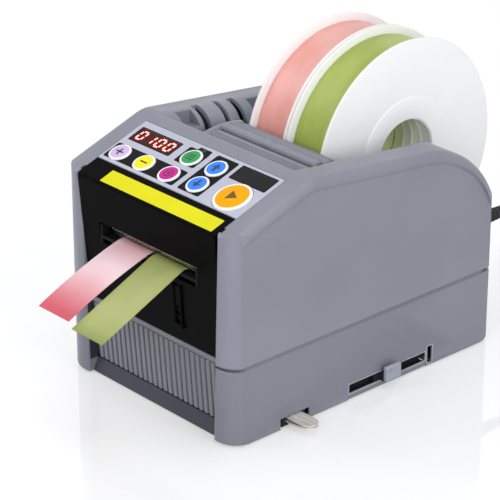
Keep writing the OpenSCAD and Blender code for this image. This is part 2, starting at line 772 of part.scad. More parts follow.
module return_springs() {
    low = rod_low + base_bar_h + spring_wire / 2 + 0.05;
    high = foot_bar_z - spring_wire / 2 - 0.05;
    color([0.70, 0.71, 0.74]) for (s = [-1, 1]) translate([s * rod_x, rod_y, 0])
        coil_spring(low, high, spring_coil_r, spring_wire, spring_turns, spring_steps);
}
// A wire of six sides wound upwards between two heights
module coil_spring(low, high, r, wire, turns, steps) {
    rings = turns * steps;
    sides = 6;
    points = [for (i = [0:rings]) let (a = 360 * i / steps, z = low + (high - low) * i / rings)
        for (j = [0:sides - 1]) let (b = 360 * j / sides, q = r + wire / 2 * cos(b))
            [q * cos(a), q * sin(a), z + wire / 2 * sin(b)]];
    polyhedron(points, tube_faces(rings + 1, sides), convexity = 6);
}
// Faces of a tube made of rings of points
function tube_faces(rings, sides) = concat(
    [[for (j = [0:sides - 1]) j]],
    [for (i = [0:rings - 2]) for (j = [0:sides - 1]) let (k = (j + 1) % sides)
        each [[i * sides + j, (i + 1) * sides + j, i * sides + k],
              [i * sides + k, (i + 1) * sides + j, (i + 1) * sides + k]]],
    [[for (j = [sides - 1:-1:0]) (rings - 1) * sides + j]]);

module fixed_blade() {
    low = cam_z + cam_small + blade_stroke + 1;
    half = frame_x + frame_t;
    color(steel) translate([-half, blade_y + blade_t + cam_gap, low])
        cube([2 * half, 3, ribbon_z - ribbon_t / 2 - 0.4 - low]);
}

// Spiral cam: its radius grows evenly over the working turn
cam_steps = 30;
module cutter_cam() {
    rise = [for (i = [0:cam_steps]) let (u = i / cam_steps, a = -90 - cam_turn * u)
        [(cam_small + blade_stroke * u) * cos(a), (cam_small + blade_stroke * u) * sin(a)]];
    color([0.90, 0.89, 0.84]) {
        translate([0, cam_y + cam_w, cam_z]) rotate([90, 0, 0]) linear_extrude(cam_w) polygon(rise);
        translate([0, cam_y - 0.5, cam_z]) rotate([-90, 0, 0]) cylinder(r = cam_shaft_r, h = cam_w + 12);
    }
}
cam_shaft_r = 1.5;
cutter_motor_y = carrier_y + carrier_d + 3;
module cutter_motor() {
    color([0.66, 0.67, 0.70]) translate([0, cutter_motor_y, cam_z]) rotate([-90, 0, 0]) difference() {
        union() {
            cylinder(r = 10.5, h = 26);
            translate([-frame_x, -7, 0]) cube([2 * frame_x, 14, 3]);
        }
        translate([0, 0, -1]) cylinder(r = cam_shaft_r + run_gap, h = 12);
    }
}

// Black frame round the inside of the outlet, with the tray that carries the ribbon ends
tray_z = ribbon_z - ribbon_t / 2 - 0.8;
module outlet_guide() {
    lip_low = outlet_low - 9;
    lip_y = cover_y(lip_low) + cover_t + 0.12;
    lip_t = 1.5;
    color(soft_black) {
        translate([-outlet_hw + fit, back(2.2), tray_z - 1.6]) cube([2 * (outlet_hw - fit), 5.1, 1.6]);
        for (s = [-1, 1]) translate([s * (outlet_hw - fit - 0.7) - 0.7, back(2.2), outlet_low + fit])
            cube([1.4, 5.1, outlet_h - 2 * fit - 0.9]);
        translate([-46, lip_y, lip_low]) cube([92, lip_t, outlet_low - lip_low]);
        translate([-outlet_hw + fit, lip_y, outlet_low - 1])
            cube([2 * (outlet_hw - fit), lip_t, tray_z - outlet_low]);
    }
}

sensor_y = back(48);
sensor_z = ribbon_z - 7.3;
module tape_sensor() {
    color([0.10, 0.12, 0.16]) {
        translate([-frame_x, sensor_y, sensor_z]) cube([2 * frame_x, 6, 3]);
        translate([-6, sensor_y, sensor_z + 3 - cut]) cube([12, 6, 5]);
        for (x = [-6, 2.4]) translate([x, sensor_y, sensor_z + 8 - 2 * cut]) cube([3.6, 6, 2.4]);
    }
}

// Ribbon path inside: from the cutter over the feed roller and down to the roll
wrap_r = feed_r + nip_side + ribbon_t / 2;
roll_touch_r = roll_r + 0.3 + ribbon_t / 2;
reel_dy = reel_y - feed_y;
reel_dz = reel_z - feed_z;
reel_dist = sqrt(reel_dy * reel_dy + reel_dz * reel_dz);
lead_angle = atan2(reel_dz, reel_dy) - asin((wrap_r + roll_touch_r) / reel_dist);
lead_end = [reel_y - roll_touch_r * cos(90 + lead_angle), reel_z - roll_touch_r * sin(90 + lead_angle)];
cut_y = blade_y + blade_t + 0.3;
lead_path = concat([[cut_y, ribbon_z]],
                   arc([feed_y, feed_z], wrap_r, 99, 90 + lead_angle, 6),
                   [lead_end]);

// Band of even thickness along a path in the YZ plane
function normal_at(path, i) =
    let (a = path[max(i - 1, 0)], b = path[min(i + 1, len(path) - 1)], d = b - a)
    [-d.y, d.x] / norm(d);
module ribbon_band(path, side, inner_edge) {
    outer = [for (i = [0:len(path) - 1]) path[i] + normal_at(path, i) * ribbon_t / 2];
    inner = [for (i = [len(path) - 1:-1:0]) path[i] - normal_at(path, i) * ribbon_t / 2];
    translate([side * (inner_edge + ribbon_w / 2), 0, 0]) rotate([90, 0, 90])
        linear_extrude(ribbon_w, center = true) polygon(concat(outer, inner));
}
module left_lead() color(pink_ribbon) ribbon_band(lead_path, -1, roll_in);
module right_lead() color(green_ribbon) ribbon_band(lead_path, 1, roll_in);

// Cut ends that hang out of the outlet
tail_y = blade_y - 0.3;
tail_steps = 14;
tail_path = [for (i = [0:tail_steps]) let (d = tail_run * i / tail_steps)
    [tail_y - d, ribbon_z - 0.27 * max(d - 3, 0) - 0.002 * d * d]];
module left_tail() color(pink_ribbon) ribbon_band(tail_path, -1, ribbon_in);
module right_tail() color(green_ribbon) ribbon_band(tail_path, 1, ribbon_in);

// Reels
reel_inner = 0.4;
roll_in = reel_inner + flange_t + 0.3;
reel_half = roll_in + ribbon_w + 0.3 + flange_t;
module at_reel() {
    translate([0, reel_y, reel_z]) rotate([0, 90, 0]) children();
}
module ring(r_out, r_in, h) {
    difference() {
        cylinder(r = r_out, h = h, $fn = 96);
        translate([0, 0, -1]) cylinder(r = r_in, h = h + 2, $fn = 96);
    }
}
rim_r = 25.5;
module reel() {
    color(white_plastic) {
        translate([0, 0, reel_inner]) ring(flange_r, hub_r, flange_t);
        translate([0, 0, reel_half - flange_t]) ring(flange_r, hub_r, flange_t);
        translate([0, 0, reel_inner]) ring(core_r, hub_r + 2.6, reel_half - reel_inner);
        translate([0, 0, reel_inner]) ring(hub_r + 1.4, hub_r, reel_half - reel_inner);
        for (a = [0:60:300]) rotate([0, 0, a]) translate([hub_r + 0.8, -0.7, reel_inner])
            cube([core_r - hub_r - 1.6, 1.4, reel_half - reel_inner]);
        translate([0, 0, reel_half - cut]) ring(core_r + 0.8, rim_r + 3, 0.5);
    }
}
module right_reel() at_reel() reel();
module left_reel() at_reel() mirror([0, 0, 1]) reel();
module ribbon_roll() {
    translate([0, 0, roll_in]) ring(roll_r, core_r, ribbon_w);
}
module right_roll() color(green_ribbon) at_reel() ribbon_roll();
module left_roll() color(pink_ribbon) at_reel() mirror([0, 0, 1]) ribbon_roll();

// Carrying rollers below the reels, with journals that turn in the side walls
module cradle_roller(p) {
    color([0.30, 0.31, 0.33]) translate([0, p.x, p.y]) rotate([0, 90, 0]) {
        cylinder(r = cradle_r, h = 2 * bay_hw - 4, center = true);
        cylinder(r = axle_r, h = 2 * (bay_hw + wall), center = true);
    }
}
module front_cradle_roller() cradle_roller(cradle_places[0]);
module rear_cradle_roller() cradle_roller(cradle_places[1]);

// Side catch that slides along the slot
module side_catch() {
    color(dark_grey) {
        translate([half_w - 4, slot_mid - catch_w / 2, slot_z + 0.4]) cube([4.4, catch_w, slot_h - 0.8]);
        translate([half_w + 0.4, slot_mid - catch_w / 2, slot_z + 0.4]) cube([2.6, catch_w, 9]);
        translate([half_w - 6.5, slot_mid - catch_w / 2 - catch_shoulder, slot_z - 0.6])
            cube([2.8, catch_w + 2 * catch_shoulder, slot_h + 1.2]);
    }
}

// Spring tweezers kept in a sleeve at the side
tweezer_l = 41;
tweezer_w = 10;
arm_t = 0.8;
arm_low = 2.9;
arm_high = 6.4;
arm_end = 5;
module tweezers() {
    tip = half_w + tweezer_out;
    root = tip - tweezer_l;
    color(steel) intersection() {
        translate([0, tweezer_y + tweezer_w / 2, 0]) rotate([90, 0, 0]) linear_extrude(tweezer_w) {
            polygon([[root, arm_low], [tip, arm_low], [tip, arm_low + arm_t], [root + 2, arm_low + arm_t],
                     [root + 2, arm_high - arm_t], [tip - 13.2, arm_high - arm_t],
                     [tip - 4.2, arm_end - arm_t], [tip, arm_end - arm_t], [tip, arm_end],
                     [tip - 4, arm_end], [tip - 13, arm_high], [root, arm_high]]);
        }
        linear_extrude(20) {
            translate([root, tweezer_y - tweezer_w / 2]) square([tweezer_l - tweezer_w / 2, tweezer_w]);
            translate([tip - tweezer_w / 2, tweezer_y]) circle(tweezer_w / 2);
        }
    }
}
// Moulded rail inside the wall: a channel for the catch and a sleeve for the tweezers
rail_low = 1.2;
sleeve_x = frame_x + frame_t + 1;
module side_rail() {
    color(soft_black) difference() {
        union() {
            translate([half_w - 13, back(slot_from - 0.5), rail_low])
                cube([13 - wall - fit, slot_to - slot_from + 1, slot_z + slot_h + 2 - rail_low]);
            translate([sleeve_x, tweezer_y - 8.5, rail_low])
                cube([half_w - wall - fit - sleeve_x, 17, 6.6]);
            translate([half_w - 13, tweezer_y, rail_low]) cube([8, slot_mid - tweezer_y, 1.6]);
        }
        translate([half_w - 7.2, back(slot_from - 2), slot_z - 1])
            cube([20, slot_to - slot_from + 4, slot_h + 2]);
        translate([sleeve_x + 1.5, tweezer_y - 6, 2.3]) cube([50, 12, 4.7]);
    }
}

// Mains parts at the rear
module power_board() {
    color([0.10, 0.38, 0.20]) {
        translate([-30, back(100), base_t + 4]) cube([60, 78, 1.6]);
        translate([-24, back(106), base_t + 5.6 - cut]) cube([26, 30, 20]);
        translate([8, back(108), base_t + 5.6 - cut]) cube([14, 22, 12]);
        for (x = [-26, 26], y = [104, 174]) translate([x, back(y), base_t]) cylinder(d = 5, h = 4 + cut);
    }
}
module power_switch_frame() {
    color(soft_black) translate([switch_x, rear_y, switch_z]) difference() {
        union() {
            translate([0, 0.6, 0]) cube([15, 1.2, 21], center = true);
            translate([0, -6, 0]) cube([12.8, 12.2, 18.8], center = true);
        }
        translate([0, 0.2, 0]) cube([10.4, 9, 16.4], center = true);
        rotate([0, 90, 0]) cylinder(r = pivot_r + run_gap, h = 20, center = true, $fn = 24);
    }
}
rocker_h = 7;
pivot_r = 1;
module power_rocker() {
    color([0.65, 0.08, 0.08]) translate([switch_x, rear_y, switch_z]) rotate([0, 90, 0]) {
        linear_extrude(9.6, center = true)
            polygon([[-rocker_h, 1.9], [0, 1.2], [rocker_h, 3.5], [rocker_h, 1], [3, -3], [-3, -3],
                     [-rocker_h, -1]]);
        cylinder(r = pivot_r, h = 12.4, center = true, $fn = 24);
    }
}

// Cord: strain relief, a free run to the table, a coil behind the machine and its plug
relief_l = 22;
relief_disc_t = 2;
// Depth of the disc behind the rear face, where the wall leans inwards
relief_disc_depth = wall + 1.2;
module strain_relief() {
    color(soft_black) translate([relief_x, rear_y, relief_z]) rotate([-90, 0, 0]) {
        translate([0, 0, -relief_disc_depth - relief_disc_t]) cylinder(d = 9, h = relief_disc_t);
        translate([0, 0, -relief_disc_depth - cut]) cylinder(d = 7.5, h = relief_disc_depth + 0.2);
        translate([0, 0, 0.1]) cylinder(d = 11, h = 2);
        rotate_extrude() polygon([[0, 2], [4.1, 2], [cord_d / 2 + 0.4, relief_l], [0, relief_l]]);
    }
}

coil_x = 52;
coil_y = rear_y + 102;
turns = 3.125;
coil_out = coil_in + turns * turn_pitch;
coil_steps = 24;
coil_sides = 6;
// Height of the middle of the cord where it lies on the table
coil_low = 2.6;

// Route of the free cord, from the strain relief to the start of the coil
cord_points = [
    [relief_x, rear_y + relief_l, relief_z], [54, 130, 68.6], [56, 139, 66.5], [60, 147.5, 61],
    [66, 154.5, 52], [72.5, 160, 41.5], [79, 164.5, 31], [85, 168.5, 21.5], [90, 173, 13.2],
    [93, 179, 7], [94, 185.5, 3.8], [93.8, 191, 2.8],
    [coil_x + coil_out, coil_y - cord_d, coil_low]];

function unit(v) = v / norm(v);
function along(path, i) = unit(path[min(i + 1, len(path) - 1)] - path[max(i - 1, 0)]);
// A ring of points square to the direction d
function ring_points(p, d, r, sides) =
    let (side = unit(cross(d, [0, 0, 1])), up = cross(side, d))
    [for (j = [0:sides - 1]) let (a = 360 * (j + 0.5) / sides - 90) p + r * (cos(a) * side + sin(a) * up)];
module swept_tube(path, first, last, r, sides) {
    n = len(path);
    points = [for (i = [0:n - 1])
        let (d = i == 0 ? first : i == n - 1 ? last : along(path, i))
            each ring_points(path[i], d, r, sides)];
    polyhedron(points, tube_faces(n, sides), convexity = 8);
}
module power_cord() {
    color(soft_black) swept_tube(cord_points, [0, 1, 0], [0, 1, 0], cord_d / 2, 8);
}

// The coil spirals in on the table, climbs, and spirals out again on top
loops = 2 * turns;
function coil_radius(t) = t < turns ? coil_out - turn_pitch * t : coil_out - turn_pitch * (loops - t);
function coil_height(t) = coil_low + turn_pitch * min(1, max(0, (t - turns + 0.25) / 0.5));
coil_path = concat(
    [[coil_out, -cord_d, coil_low]],
    [for (i = [0:loops * coil_steps]) let (t = i / coil_steps, a = 360 * t)
        [coil_radius(t) * cos(a), coil_radius(t) * sin(a), coil_height(t)]],
    [[-cord_d, coil_out, coil_low + turn_pitch]]);
module cord_coil() {
    color(soft_black) translate([coil_x, coil_y, 0])
        swept_tube(coil_path, [0, 1, 0], [-1, 0, 0], cord_d / 2, coil_sides);
}
apart = [for (i = [1:3:len(coil_path) - 2]) for (j = [i + 12:3:len(coil_path) - 2])
    norm(coil_path[i] - coil_path[j])];
echo(least_gap_of_the_coil = min(apart) - cord_d);

plug_z = coil_low + turn_pitch;
plug_start = coil_x - cord_d;
module power_plug() {
    color(soft_black) translate([plug_start, coil_y + coil_out, plug_z]) rotate([0, -90, 0]) {
        cylinder(r1 = cord_d / 2 + 0.3, r2 = 4.4, h = 22, $fn = 32);
        translate([0, 0, 22 - cut]) cylinder(d = 15, h = 5);
        translate([-6.9, -10.5, 27 - 2 * cut]) cube([13.8, 21, 24]);
    }
    color(steel) translate([plug_start - 50.9, coil_y + coil_out, plug_z])
        for (s = [-1, 1]) translate([-16, s * 6.35 - 0.75, -3.2]) cube([16, 1.5, 6.4]);
}

upper_housing();
lower_housing();
base_plate();
rubber_feet();
base_screws();
front_cover();
ribbed_panel();
front_sill();
membrane_panel();
plus_button();
minus_button();
select_button();
mode_button();
up_button();
down_button();
start_button();
display_window();
side_window();
display_module();
control_board();
left_frame();
right_frame();
roller_bushes();
feed_shaft();
feed_roller();
feed_gear();
motor_pinion();
feed_motor();
roller_cover();
pinch_roller();
moving_blade();
blade_carrier();
guide_rods();
cutter_base();
return_springs();
fixed_blade();
cutter_cam();
cutter_motor();
outlet_guide();
tape_sensor();
left_lead();
right_lead();
left_tail();
right_tail();
left_reel();
right_reel();
left_roll();
right_roll();
front_cradle_roller();
rear_cradle_roller();
side_catch();
side_rail();
tweezers();
power_board();
power_switch_frame();
power_rocker();
strain_relief();
power_cord();
cord_coil();
power_plug();
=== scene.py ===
"""Electric tape dispenser, dressed for its photograph. Lengths are in millimetres until
they become meshes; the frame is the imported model's: -Y is the front, +X the catch side."""

import math

import bmesh
import bpy
from mathutils import Matrix, Vector


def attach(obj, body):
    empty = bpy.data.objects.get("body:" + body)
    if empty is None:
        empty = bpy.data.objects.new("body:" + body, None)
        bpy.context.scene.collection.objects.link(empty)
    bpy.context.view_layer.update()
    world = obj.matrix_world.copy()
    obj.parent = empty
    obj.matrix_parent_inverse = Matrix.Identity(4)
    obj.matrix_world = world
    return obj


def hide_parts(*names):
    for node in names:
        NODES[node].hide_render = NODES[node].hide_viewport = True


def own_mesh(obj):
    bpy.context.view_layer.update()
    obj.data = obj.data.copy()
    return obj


MM = 0.001
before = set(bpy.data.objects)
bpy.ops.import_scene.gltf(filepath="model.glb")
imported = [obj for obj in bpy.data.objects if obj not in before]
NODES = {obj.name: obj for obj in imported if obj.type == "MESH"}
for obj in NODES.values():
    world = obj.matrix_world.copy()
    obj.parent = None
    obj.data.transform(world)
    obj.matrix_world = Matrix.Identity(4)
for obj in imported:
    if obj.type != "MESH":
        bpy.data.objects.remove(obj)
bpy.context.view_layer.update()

# Driving sizes, the same as the part's
BODY_W, BODY_L = 140, 200
HALF_W, FRONT, REAR = BODY_W / 2, -BODY_L / 2, BODY_L / 2
FOLD_Z, PANEL_TILT, TOP_TILT = 120, math.radians(19), math.radians(6)
CREST_RUN, CREST_ROUND, REAR_R = 56, 20, 67
CORNER_R, WALL = 14, 3
SEAM_Z, SEAM_GAP = 45, 1.4
OPEN_TOP, OPEN_LOW = 55.7, 52
BAND_L = 15
BAY_HW, BAY_Z, SHOULDER_R, PASSAGE_HW = 43, 38, 14, 34
REEL_Z, REEL_RUN, FLANGE_R, HUB_R, CORE_R, ROLL_R = 111, 164, 66.5, 20.8, 30, 62
CORD_D = 5.5

# Heights below and above the whole housing, and a half width past the front opening
BENEATH, ABOVE, WIDE = -10, 200, 60

# Finer forms that only the dressed housing has
EDGE_R, FOLD_R, FOOT_R, FOOT_Z = 4.2, 2.2, 2.5, 0.8
RECESS, RECESS_TOP, RECESS_PANEL, RECESS_REAR = 1.9, 3.6, 2.8, -0.9


def back(run):
    """Y of a place this far behind the front face."""
    return FRONT + run


CREST_Y = back(CREST_RUN)
CREST_Z = FOLD_Z + CREST_RUN * math.tan(PANEL_TILT)
DECK_END, BAY_START = back(CREST_RUN + 1.5), back(94.5)
BAND_END = back(BAND_L * math.cos(PANEL_TILT))
FEED_Y, FEED_Z, FEED_R = back(84), 90.5, 10.2
COVER_FLOOR = FEED_Z + 9.5
RIBBON_Z, RIBBON_W, RIBBON_T = 89.3, 25, 0.4


# Materials
def colour(red, green, blue):
    """Linear value of a colour given as it looks on screen, 0 to 255."""
    return tuple(
        c / 12.92 if c <= 0.04045 else ((c + 0.055) / 1.055) ** 2.4
        for c in (red / 255, green / 255, blue / 255)
    ) + (1,)


def scaled(rgb, factor, lift=0):
    return tuple(min(255, c * factor + lift) for c in rgb)


class Shader:
    """A Principled material that is put together node by node."""

    def __init__(self, name, rgb, roughness, **sockets):
        self.material = bpy.data.materials.new(name)
        self.material.use_nodes = True
        self.nodes = self.material.node_tree.nodes
        self.links = self.material.node_tree.links
        self.surface = self.nodes["Principled BSDF"]
        self.place = self.nodes.new("ShaderNodeTexCoord").outputs["Object"]
        self.normal = None
        self.give("Base Color", colour(*rgb))
        self.give("Roughness", roughness)
        for socket, value in sockets.items():
            self.give(socket.replace("_", " "), value)

    def set(self, node, socket, value):
        if isinstance(value, bpy.types.NodeSocket):
            self.links.new(value, node.inputs[socket])
        else:
            node.inputs[socket].default_value = value

    def give(self, socket, value):
        """Sets a socket of the surface itself."""
        self.set(self.surface, socket, value)

    def node(self, kind, inputs=None, **settings):
        made = self.nodes.new(kind)
        for name, value in settings.items():
            setattr(made, name, value)
        for name, value in (inputs or {}).items():
            self.set(made, name, value)
        return made

    def noise(self, scale, detail=3.0, vector=None):
        made = self.node("ShaderNodeTexNoise", {"Scale": scale, "Detail": detail})
        self.links.new(vector or self.place, made.inputs["Vector"])
        return made.outputs["Fac"]

    def stretched(self, x, y, z):
        """Object place with each axis scaled, for grain that runs one way."""
        made = self.node("ShaderNodeMapping", {"Scale": (x, y, z)})
        self.links.new(self.place, made.inputs["Vector"])
        return made.outputs["Vector"]

    def spread(self, source, low, high, start=0.3, end=0.7):
        """The source's middle values spread from low to high."""
        limits = {"From Min": start, "From Max": end, "To Min": low, "To Max": high}
        return self.node("ShaderNodeMapRange", {"Value": source, **limits}).outputs[0]

    def mix(self, first, second, share):
        """One colour turning into another; each is a colour on screen or a socket."""
        made = self.node("ShaderNodeMix", data_type="RGBA")
        self.set(made, 0, share)
        for i, tone in ((6, first), (7, second)):
            self.set(made, i, colour(*tone) if isinstance(tone, tuple) else tone)
        return made.outputs[2]

    def bump(self, source, depth, strength=1.0):
        """Adds a relief of this depth in millimetres."""
        made = self.node(
            "ShaderNodeBump",
            {"Height": source, "Distance": depth * MM, "Strength": strength},
        )
        if self.normal:
            self.links.new(self.normal, made.inputs["Normal"])
        self.normal = made.outputs["Normal"]
        self.links.new(self.normal, self.surface.inputs["Normal"])

    def soft_edges(self, radius):
        """Rounds every sharp edge in the shading, as a mould does."""
        made = self.node("ShaderNodeBevel", {"Radius": radius * MM}, samples=6)
        self.normal = made.outputs["Normal"]
        self.links.new(self.normal, self.surface.inputs["Normal"])

    def handled(self, roughness, scale=45):
        """Roughness that drifts as on a surface that hands have touched."""
        smear = self.noise(scale, 4)
        low, high = max(0.02, roughness - 0.05), roughness + 0.08
        self.give("Roughness", self.spread(smear, low, high))


def moulded(name, rgb, roughness, grain=0.05, edge=0.5, gloss=0.4):
    """Moulded plastic: fine spark texture, slow colour drift, softened edges."""
    made = Shader(name, rgb, roughness, Specular_IOR_Level=gloss)
    made.soft_edges(edge)
    drift = made.spread(made.noise(18, 2), 0.0, 1.0)
    base = made.mix(rgb, scaled(rgb, 1.04, 1), drift)
    # Lighter towards sharp convex edges, where the pointiness is high
    edge_pointiness = made.node("ShaderNodeNewGeometry").outputs["Pointiness"]
    sharp_edge_share = made.spread(edge_pointiness, 0.0, 0.3, 0.52, 0.62)
    made.give("Base Color", made.mix(base, scaled(rgb, 1.2, 8), sharp_edge_share))
    made.handled(roughness)
    if grain:
        made.bump(made.noise(2600, 2), grain, 0.35)
    return made.material


def metal(name, rgb, roughness, scale=(40, 900, 900), relief=0.02, metallic=1.0):
    """Metal with fine drawn lines along one axis."""
    made = Shader(name, rgb, roughness, Metallic=metallic)
    made.soft_edges(0.25)
    lines = made.noise(1.0, 4, vector=made.stretched(*scale))
    share = made.spread(lines, 0.0, 1.0)
    made.give("Base Color", made.mix(rgb, scaled(rgb, 0.82), share))
    made.handled(roughness, 60)
    made.bump(lines, relief, 0.4)
    return made.material


def rubber(name, rgb, roughness=0.62, dusty=26):
    """Rubber or soft plastic with a bloom of dust."""
    made = Shader(name, rgb, roughness)
    made.soft_edges(0.3)
    dust = made.spread(made.noise(120, 5), 0.0, 0.25, 0.45, 0.75)
    made.give("Base Color", made.mix(rgb, scaled(rgb, 1, dusty), dust))
    made.handled(roughness, 300)
    made.bump(made.noise(1500, 3), 0.04, 0.4)
    return made.material


def film(name, rgb, roughness=0.3, drift=1.04, gloss=0.4):
    """Printed film or ink: smooth, faintly uneven."""
    made = Shader(name, rgb, roughness, Specular_IOR_Level=gloss)
    share = made.spread(made.noise(30, 3), 0.0, 1.0)
    made.give("Base Color", made.mix(rgb, scaled(rgb, drift, 1), share))
    made.handled(roughness, 90)
    made.bump(made.noise(420, 3), 0.02, 0.25)
    return made.material


def lens(name, rgb, roughness=0.12):
    """Tinted window under a clear coat."""
    made = Shader(name, rgb, roughness, Coat_Weight=0.12, Coat_Roughness=0.15,
                  Specular_IOR_Level=0.1)
    share = made.spread(made.noise(80, 4), 0, 0.6)
    made.give("Base Color", made.mix(rgb, scaled(rgb, 1.3, 2), share))
    made.handled(roughness, 80)
    return made.material


def lamp_ink(name, rgb, glow_rgb, strength):
    """Lit part of a display, not quite even."""
    made = Shader(name, rgb, 0.3, Emission_Color=colour(*glow_rgb))
    uneven = made.spread(made.noise(500, 2), strength * 0.9, strength * 1.1)
    made.give("Emission Strength", uneven)
    return made.material


def satin(name, body, light, shade, highlight_run=None, shade_run=None, sheen=0.2):
    """Satin ribbon: long floats along it, fine weft lines across it, and slow patches of painted
    highlight. Where runs are given, a band of painted highlight rises and fades between the three
    distances of highlight_run from the front, and painted shade deepens between the two of shade_run."""
    made = Shader(name, body, 0.36, Anisotropic=0.5, Sheen_Weight=sheen, Sheen_Roughness=0.3,
                  Sheen_Tint=colour(*light))
    floats = made.noise(1.0, 3, vector=made.stretched(5200, 90, 90))
    weft = made.node(
        "ShaderNodeTexWave",
        {"Scale": 900.0, "Distortion": 1.2, "Detail": 1.0, "Detail Scale": 2.0},
        bands_direction="Y",
    )
    made.links.new(made.place, weft.inputs["Vector"])
    tone = made.mix(body, light, made.spread(floats, 0.0, 0.5, 0.35, 0.65))
    # Slow patches of painted highlight
    highlight_patches = made.noise(1.0, 1, vector=made.stretched(45, 22, 22))
    tone = made.mix(tone, light, made.spread(highlight_patches, 0.0, 0.7, 0.45, 0.7))
    if highlight_run:
        axes = made.node("ShaderNodeSeparateXYZ", {"Vector": made.place})
        y = axes.outputs["Y"]
        # A band of painted highlight along the ribbon
        glow = made.spread(y, 0.0, 1.0, back(highlight_run[0]) * MM, back(highlight_run[1]) * MM)
        fade = made.spread(y, 1.0, 0.0, back(highlight_run[1]) * MM, back(highlight_run[2]) * MM)
        both = made.node("ShaderNodeMath", {0: glow, 1: fade}, operation="MULTIPLY")
        tone = made.mix(tone, light, both.outputs[0])
        # Painted shade that deepens towards the cut end
        end = made.spread(y, 1.0, 0.0, back(shade_run[0]) * MM, back(shade_run[1]) * MM)
        tone = made.mix(tone, shade, end)
    made.give("Base Color", tone)
    made.give("Roughness", made.spread(floats, 0.32, 0.46))
    made.bump(floats, 0.03, 0.4)
    made.bump(weft.outputs["Fac"], 0.015, 0.3)
    return made.material


# The lower shell's grey is the housing grey made darker: painted shade towards the bottom
GREY, SHADED_LOWER_GREY = (132, 135, 146), (121, 124, 135)
housing_skin = moulded("housing_grey", GREY, 0.36, grain=0.04, edge=0.6, gloss=0.42)
shaded_lower_skin = moulded("lower_grey_shaded", SHADED_LOWER_GREY, 0.36, grain=0.04, edge=0.6, gloss=0.42)
rib_grey = moulded("rib_grey", (120, 123, 130), 0.48, edge=0.25, gloss=0.25)
# Darker grey for the lip in the seam and the fins in the shoulder slots: painted shade
seam_shade_grey = moulded("seam_shade_grey", (112, 115, 127), 0.5, edge=0.4, gloss=0.3)
catch_grey = moulded("catch_grey", (150, 153, 166), 0.4, edge=0.5)
dark_trim = moulded("dark_trim", (60, 63, 72), 0.45, edge=0.4, gloss=0.3)
# Dark grey for thin sheets of painted shade on the front pillars' inner walls
pillar_painted_shade = moulded("pillar_painted_shade", (50, 52, 59), 0.5, edge=0.3, gloss=0.2)
# Lighter grey for the raised rims of the side slots: a painted highlight
rim_painted_highlight = moulded("rim_painted_highlight", (168, 171, 182), 0.4, edge=0.2)
slot_dark = moulded("slot_dark", (30, 31, 34), 0.6, edge=0.3, gloss=0.2)
cover_black = moulded("cover_black", (7, 7, 8), 0.3, grain=0.0, edge=0.5, gloss=0.02)
inner_black = moulded("inner_black", (13, 13, 14), 0.5, edge=0.3, gloss=0.1)
reel_white = moulded("reel_white", (250, 250, 252), 0.4, grain=0.02, edge=0.3, gloss=0.3)
rim_cream = moulded("rim_cream", (236, 229, 220), 0.4, grain=0.02, edge=0.2)
gear_white = moulded("gear_white", (226, 222, 208), 0.4, edge=0.2)
pale_case = moulded("pale_case", (216, 216, 208), 0.45, edge=0.3)
switch_red = moulded("switch_red", (178, 26, 26), 0.3, grain=0.0, edge=0.4)
# Liners of the reel bore, from the machine's middle outwards: near-white, greener towards the middle,
# and lighter than the shade inside the bore would leave them, as painted light
bore_painted_light = [
    moulded("bore_deep", (222, 236, 172), 0.5, grain=0.0, gloss=0.2),
    moulded("bore_middle", (240, 246, 222), 0.5, grain=0.0, gloss=0.2),
    moulded("bore_outer", (244, 246, 240), 0.5, grain=0.0, gloss=0.2),
]
steel = metal("bright_steel", (206, 209, 214), 0.28)
blade_steel = metal("blade_steel", (232, 232, 236), 0.22)
ivory_steel = metal("ivory_steel", (248, 242, 233), 0.3, scale=(60, 700, 700), metallic=0.15)
zinc = metal("zinc_sheet", (168, 171, 178), 0.38, scale=(300, 60, 60))
bronze = metal("bronze", (196, 150, 78), 0.3)
black_rubber = rubber("black_rubber", (24, 24, 25))
roller_rubber = rubber("roller_rubber", (40, 40, 42), 0.7)
cord_skin = rubber("cord_skin", (8, 8, 9), 0.6, dusty=8)
panel_film = film("panel_film", (186, 189, 204), 0.36, gloss=0.25)
ink_black = film("ink_black", (14, 14, 16), 0.4, 1.2, gloss=0.08)
rim_white = film("rim_white", (244, 243, 247), 0.3)
strip_yellow = film("strip_yellow", (228, 222, 26), 0.4, gloss=0.12)
mark_grey = film("mark_grey", (150, 152, 156), 0.4)
board_green = film("board_green", (26, 98, 56), 0.3, 1.2)
display_red = lens("display_red", (54, 4, 8), 0.3)
smoke_black = lens("smoke_black", (13, 12, 14), 0.35)
lamp_dark = lens("lamp_dark", (52, 52, 56), 0.2)
digit_glow = lamp_ink("digit_glow", (255, 60, 40), (255, 60, 36), 0.7)
digit_core = lamp_ink("digit_core", (255, 220, 208), (255, 205, 190), 0.75)
KEY_TONES = {
    "plus": (212, 186, 228),
    "minus": (244, 232, 40),
    "select": (206, 44, 148),
    "mode": (58, 160, 92),
    "up": (62, 136, 250),
    "down": (62, 136, 250),
    "start": (253, 170, 6),
}
KEY_SLOTS = {
    "plus": "lilac_key",
    "minus": "yellow_key",
    "select": "magenta_key",
    "mode": "green_key",
    "up": "blue_key",
    "down": "blue_key",
    "start": "orange_key",
}
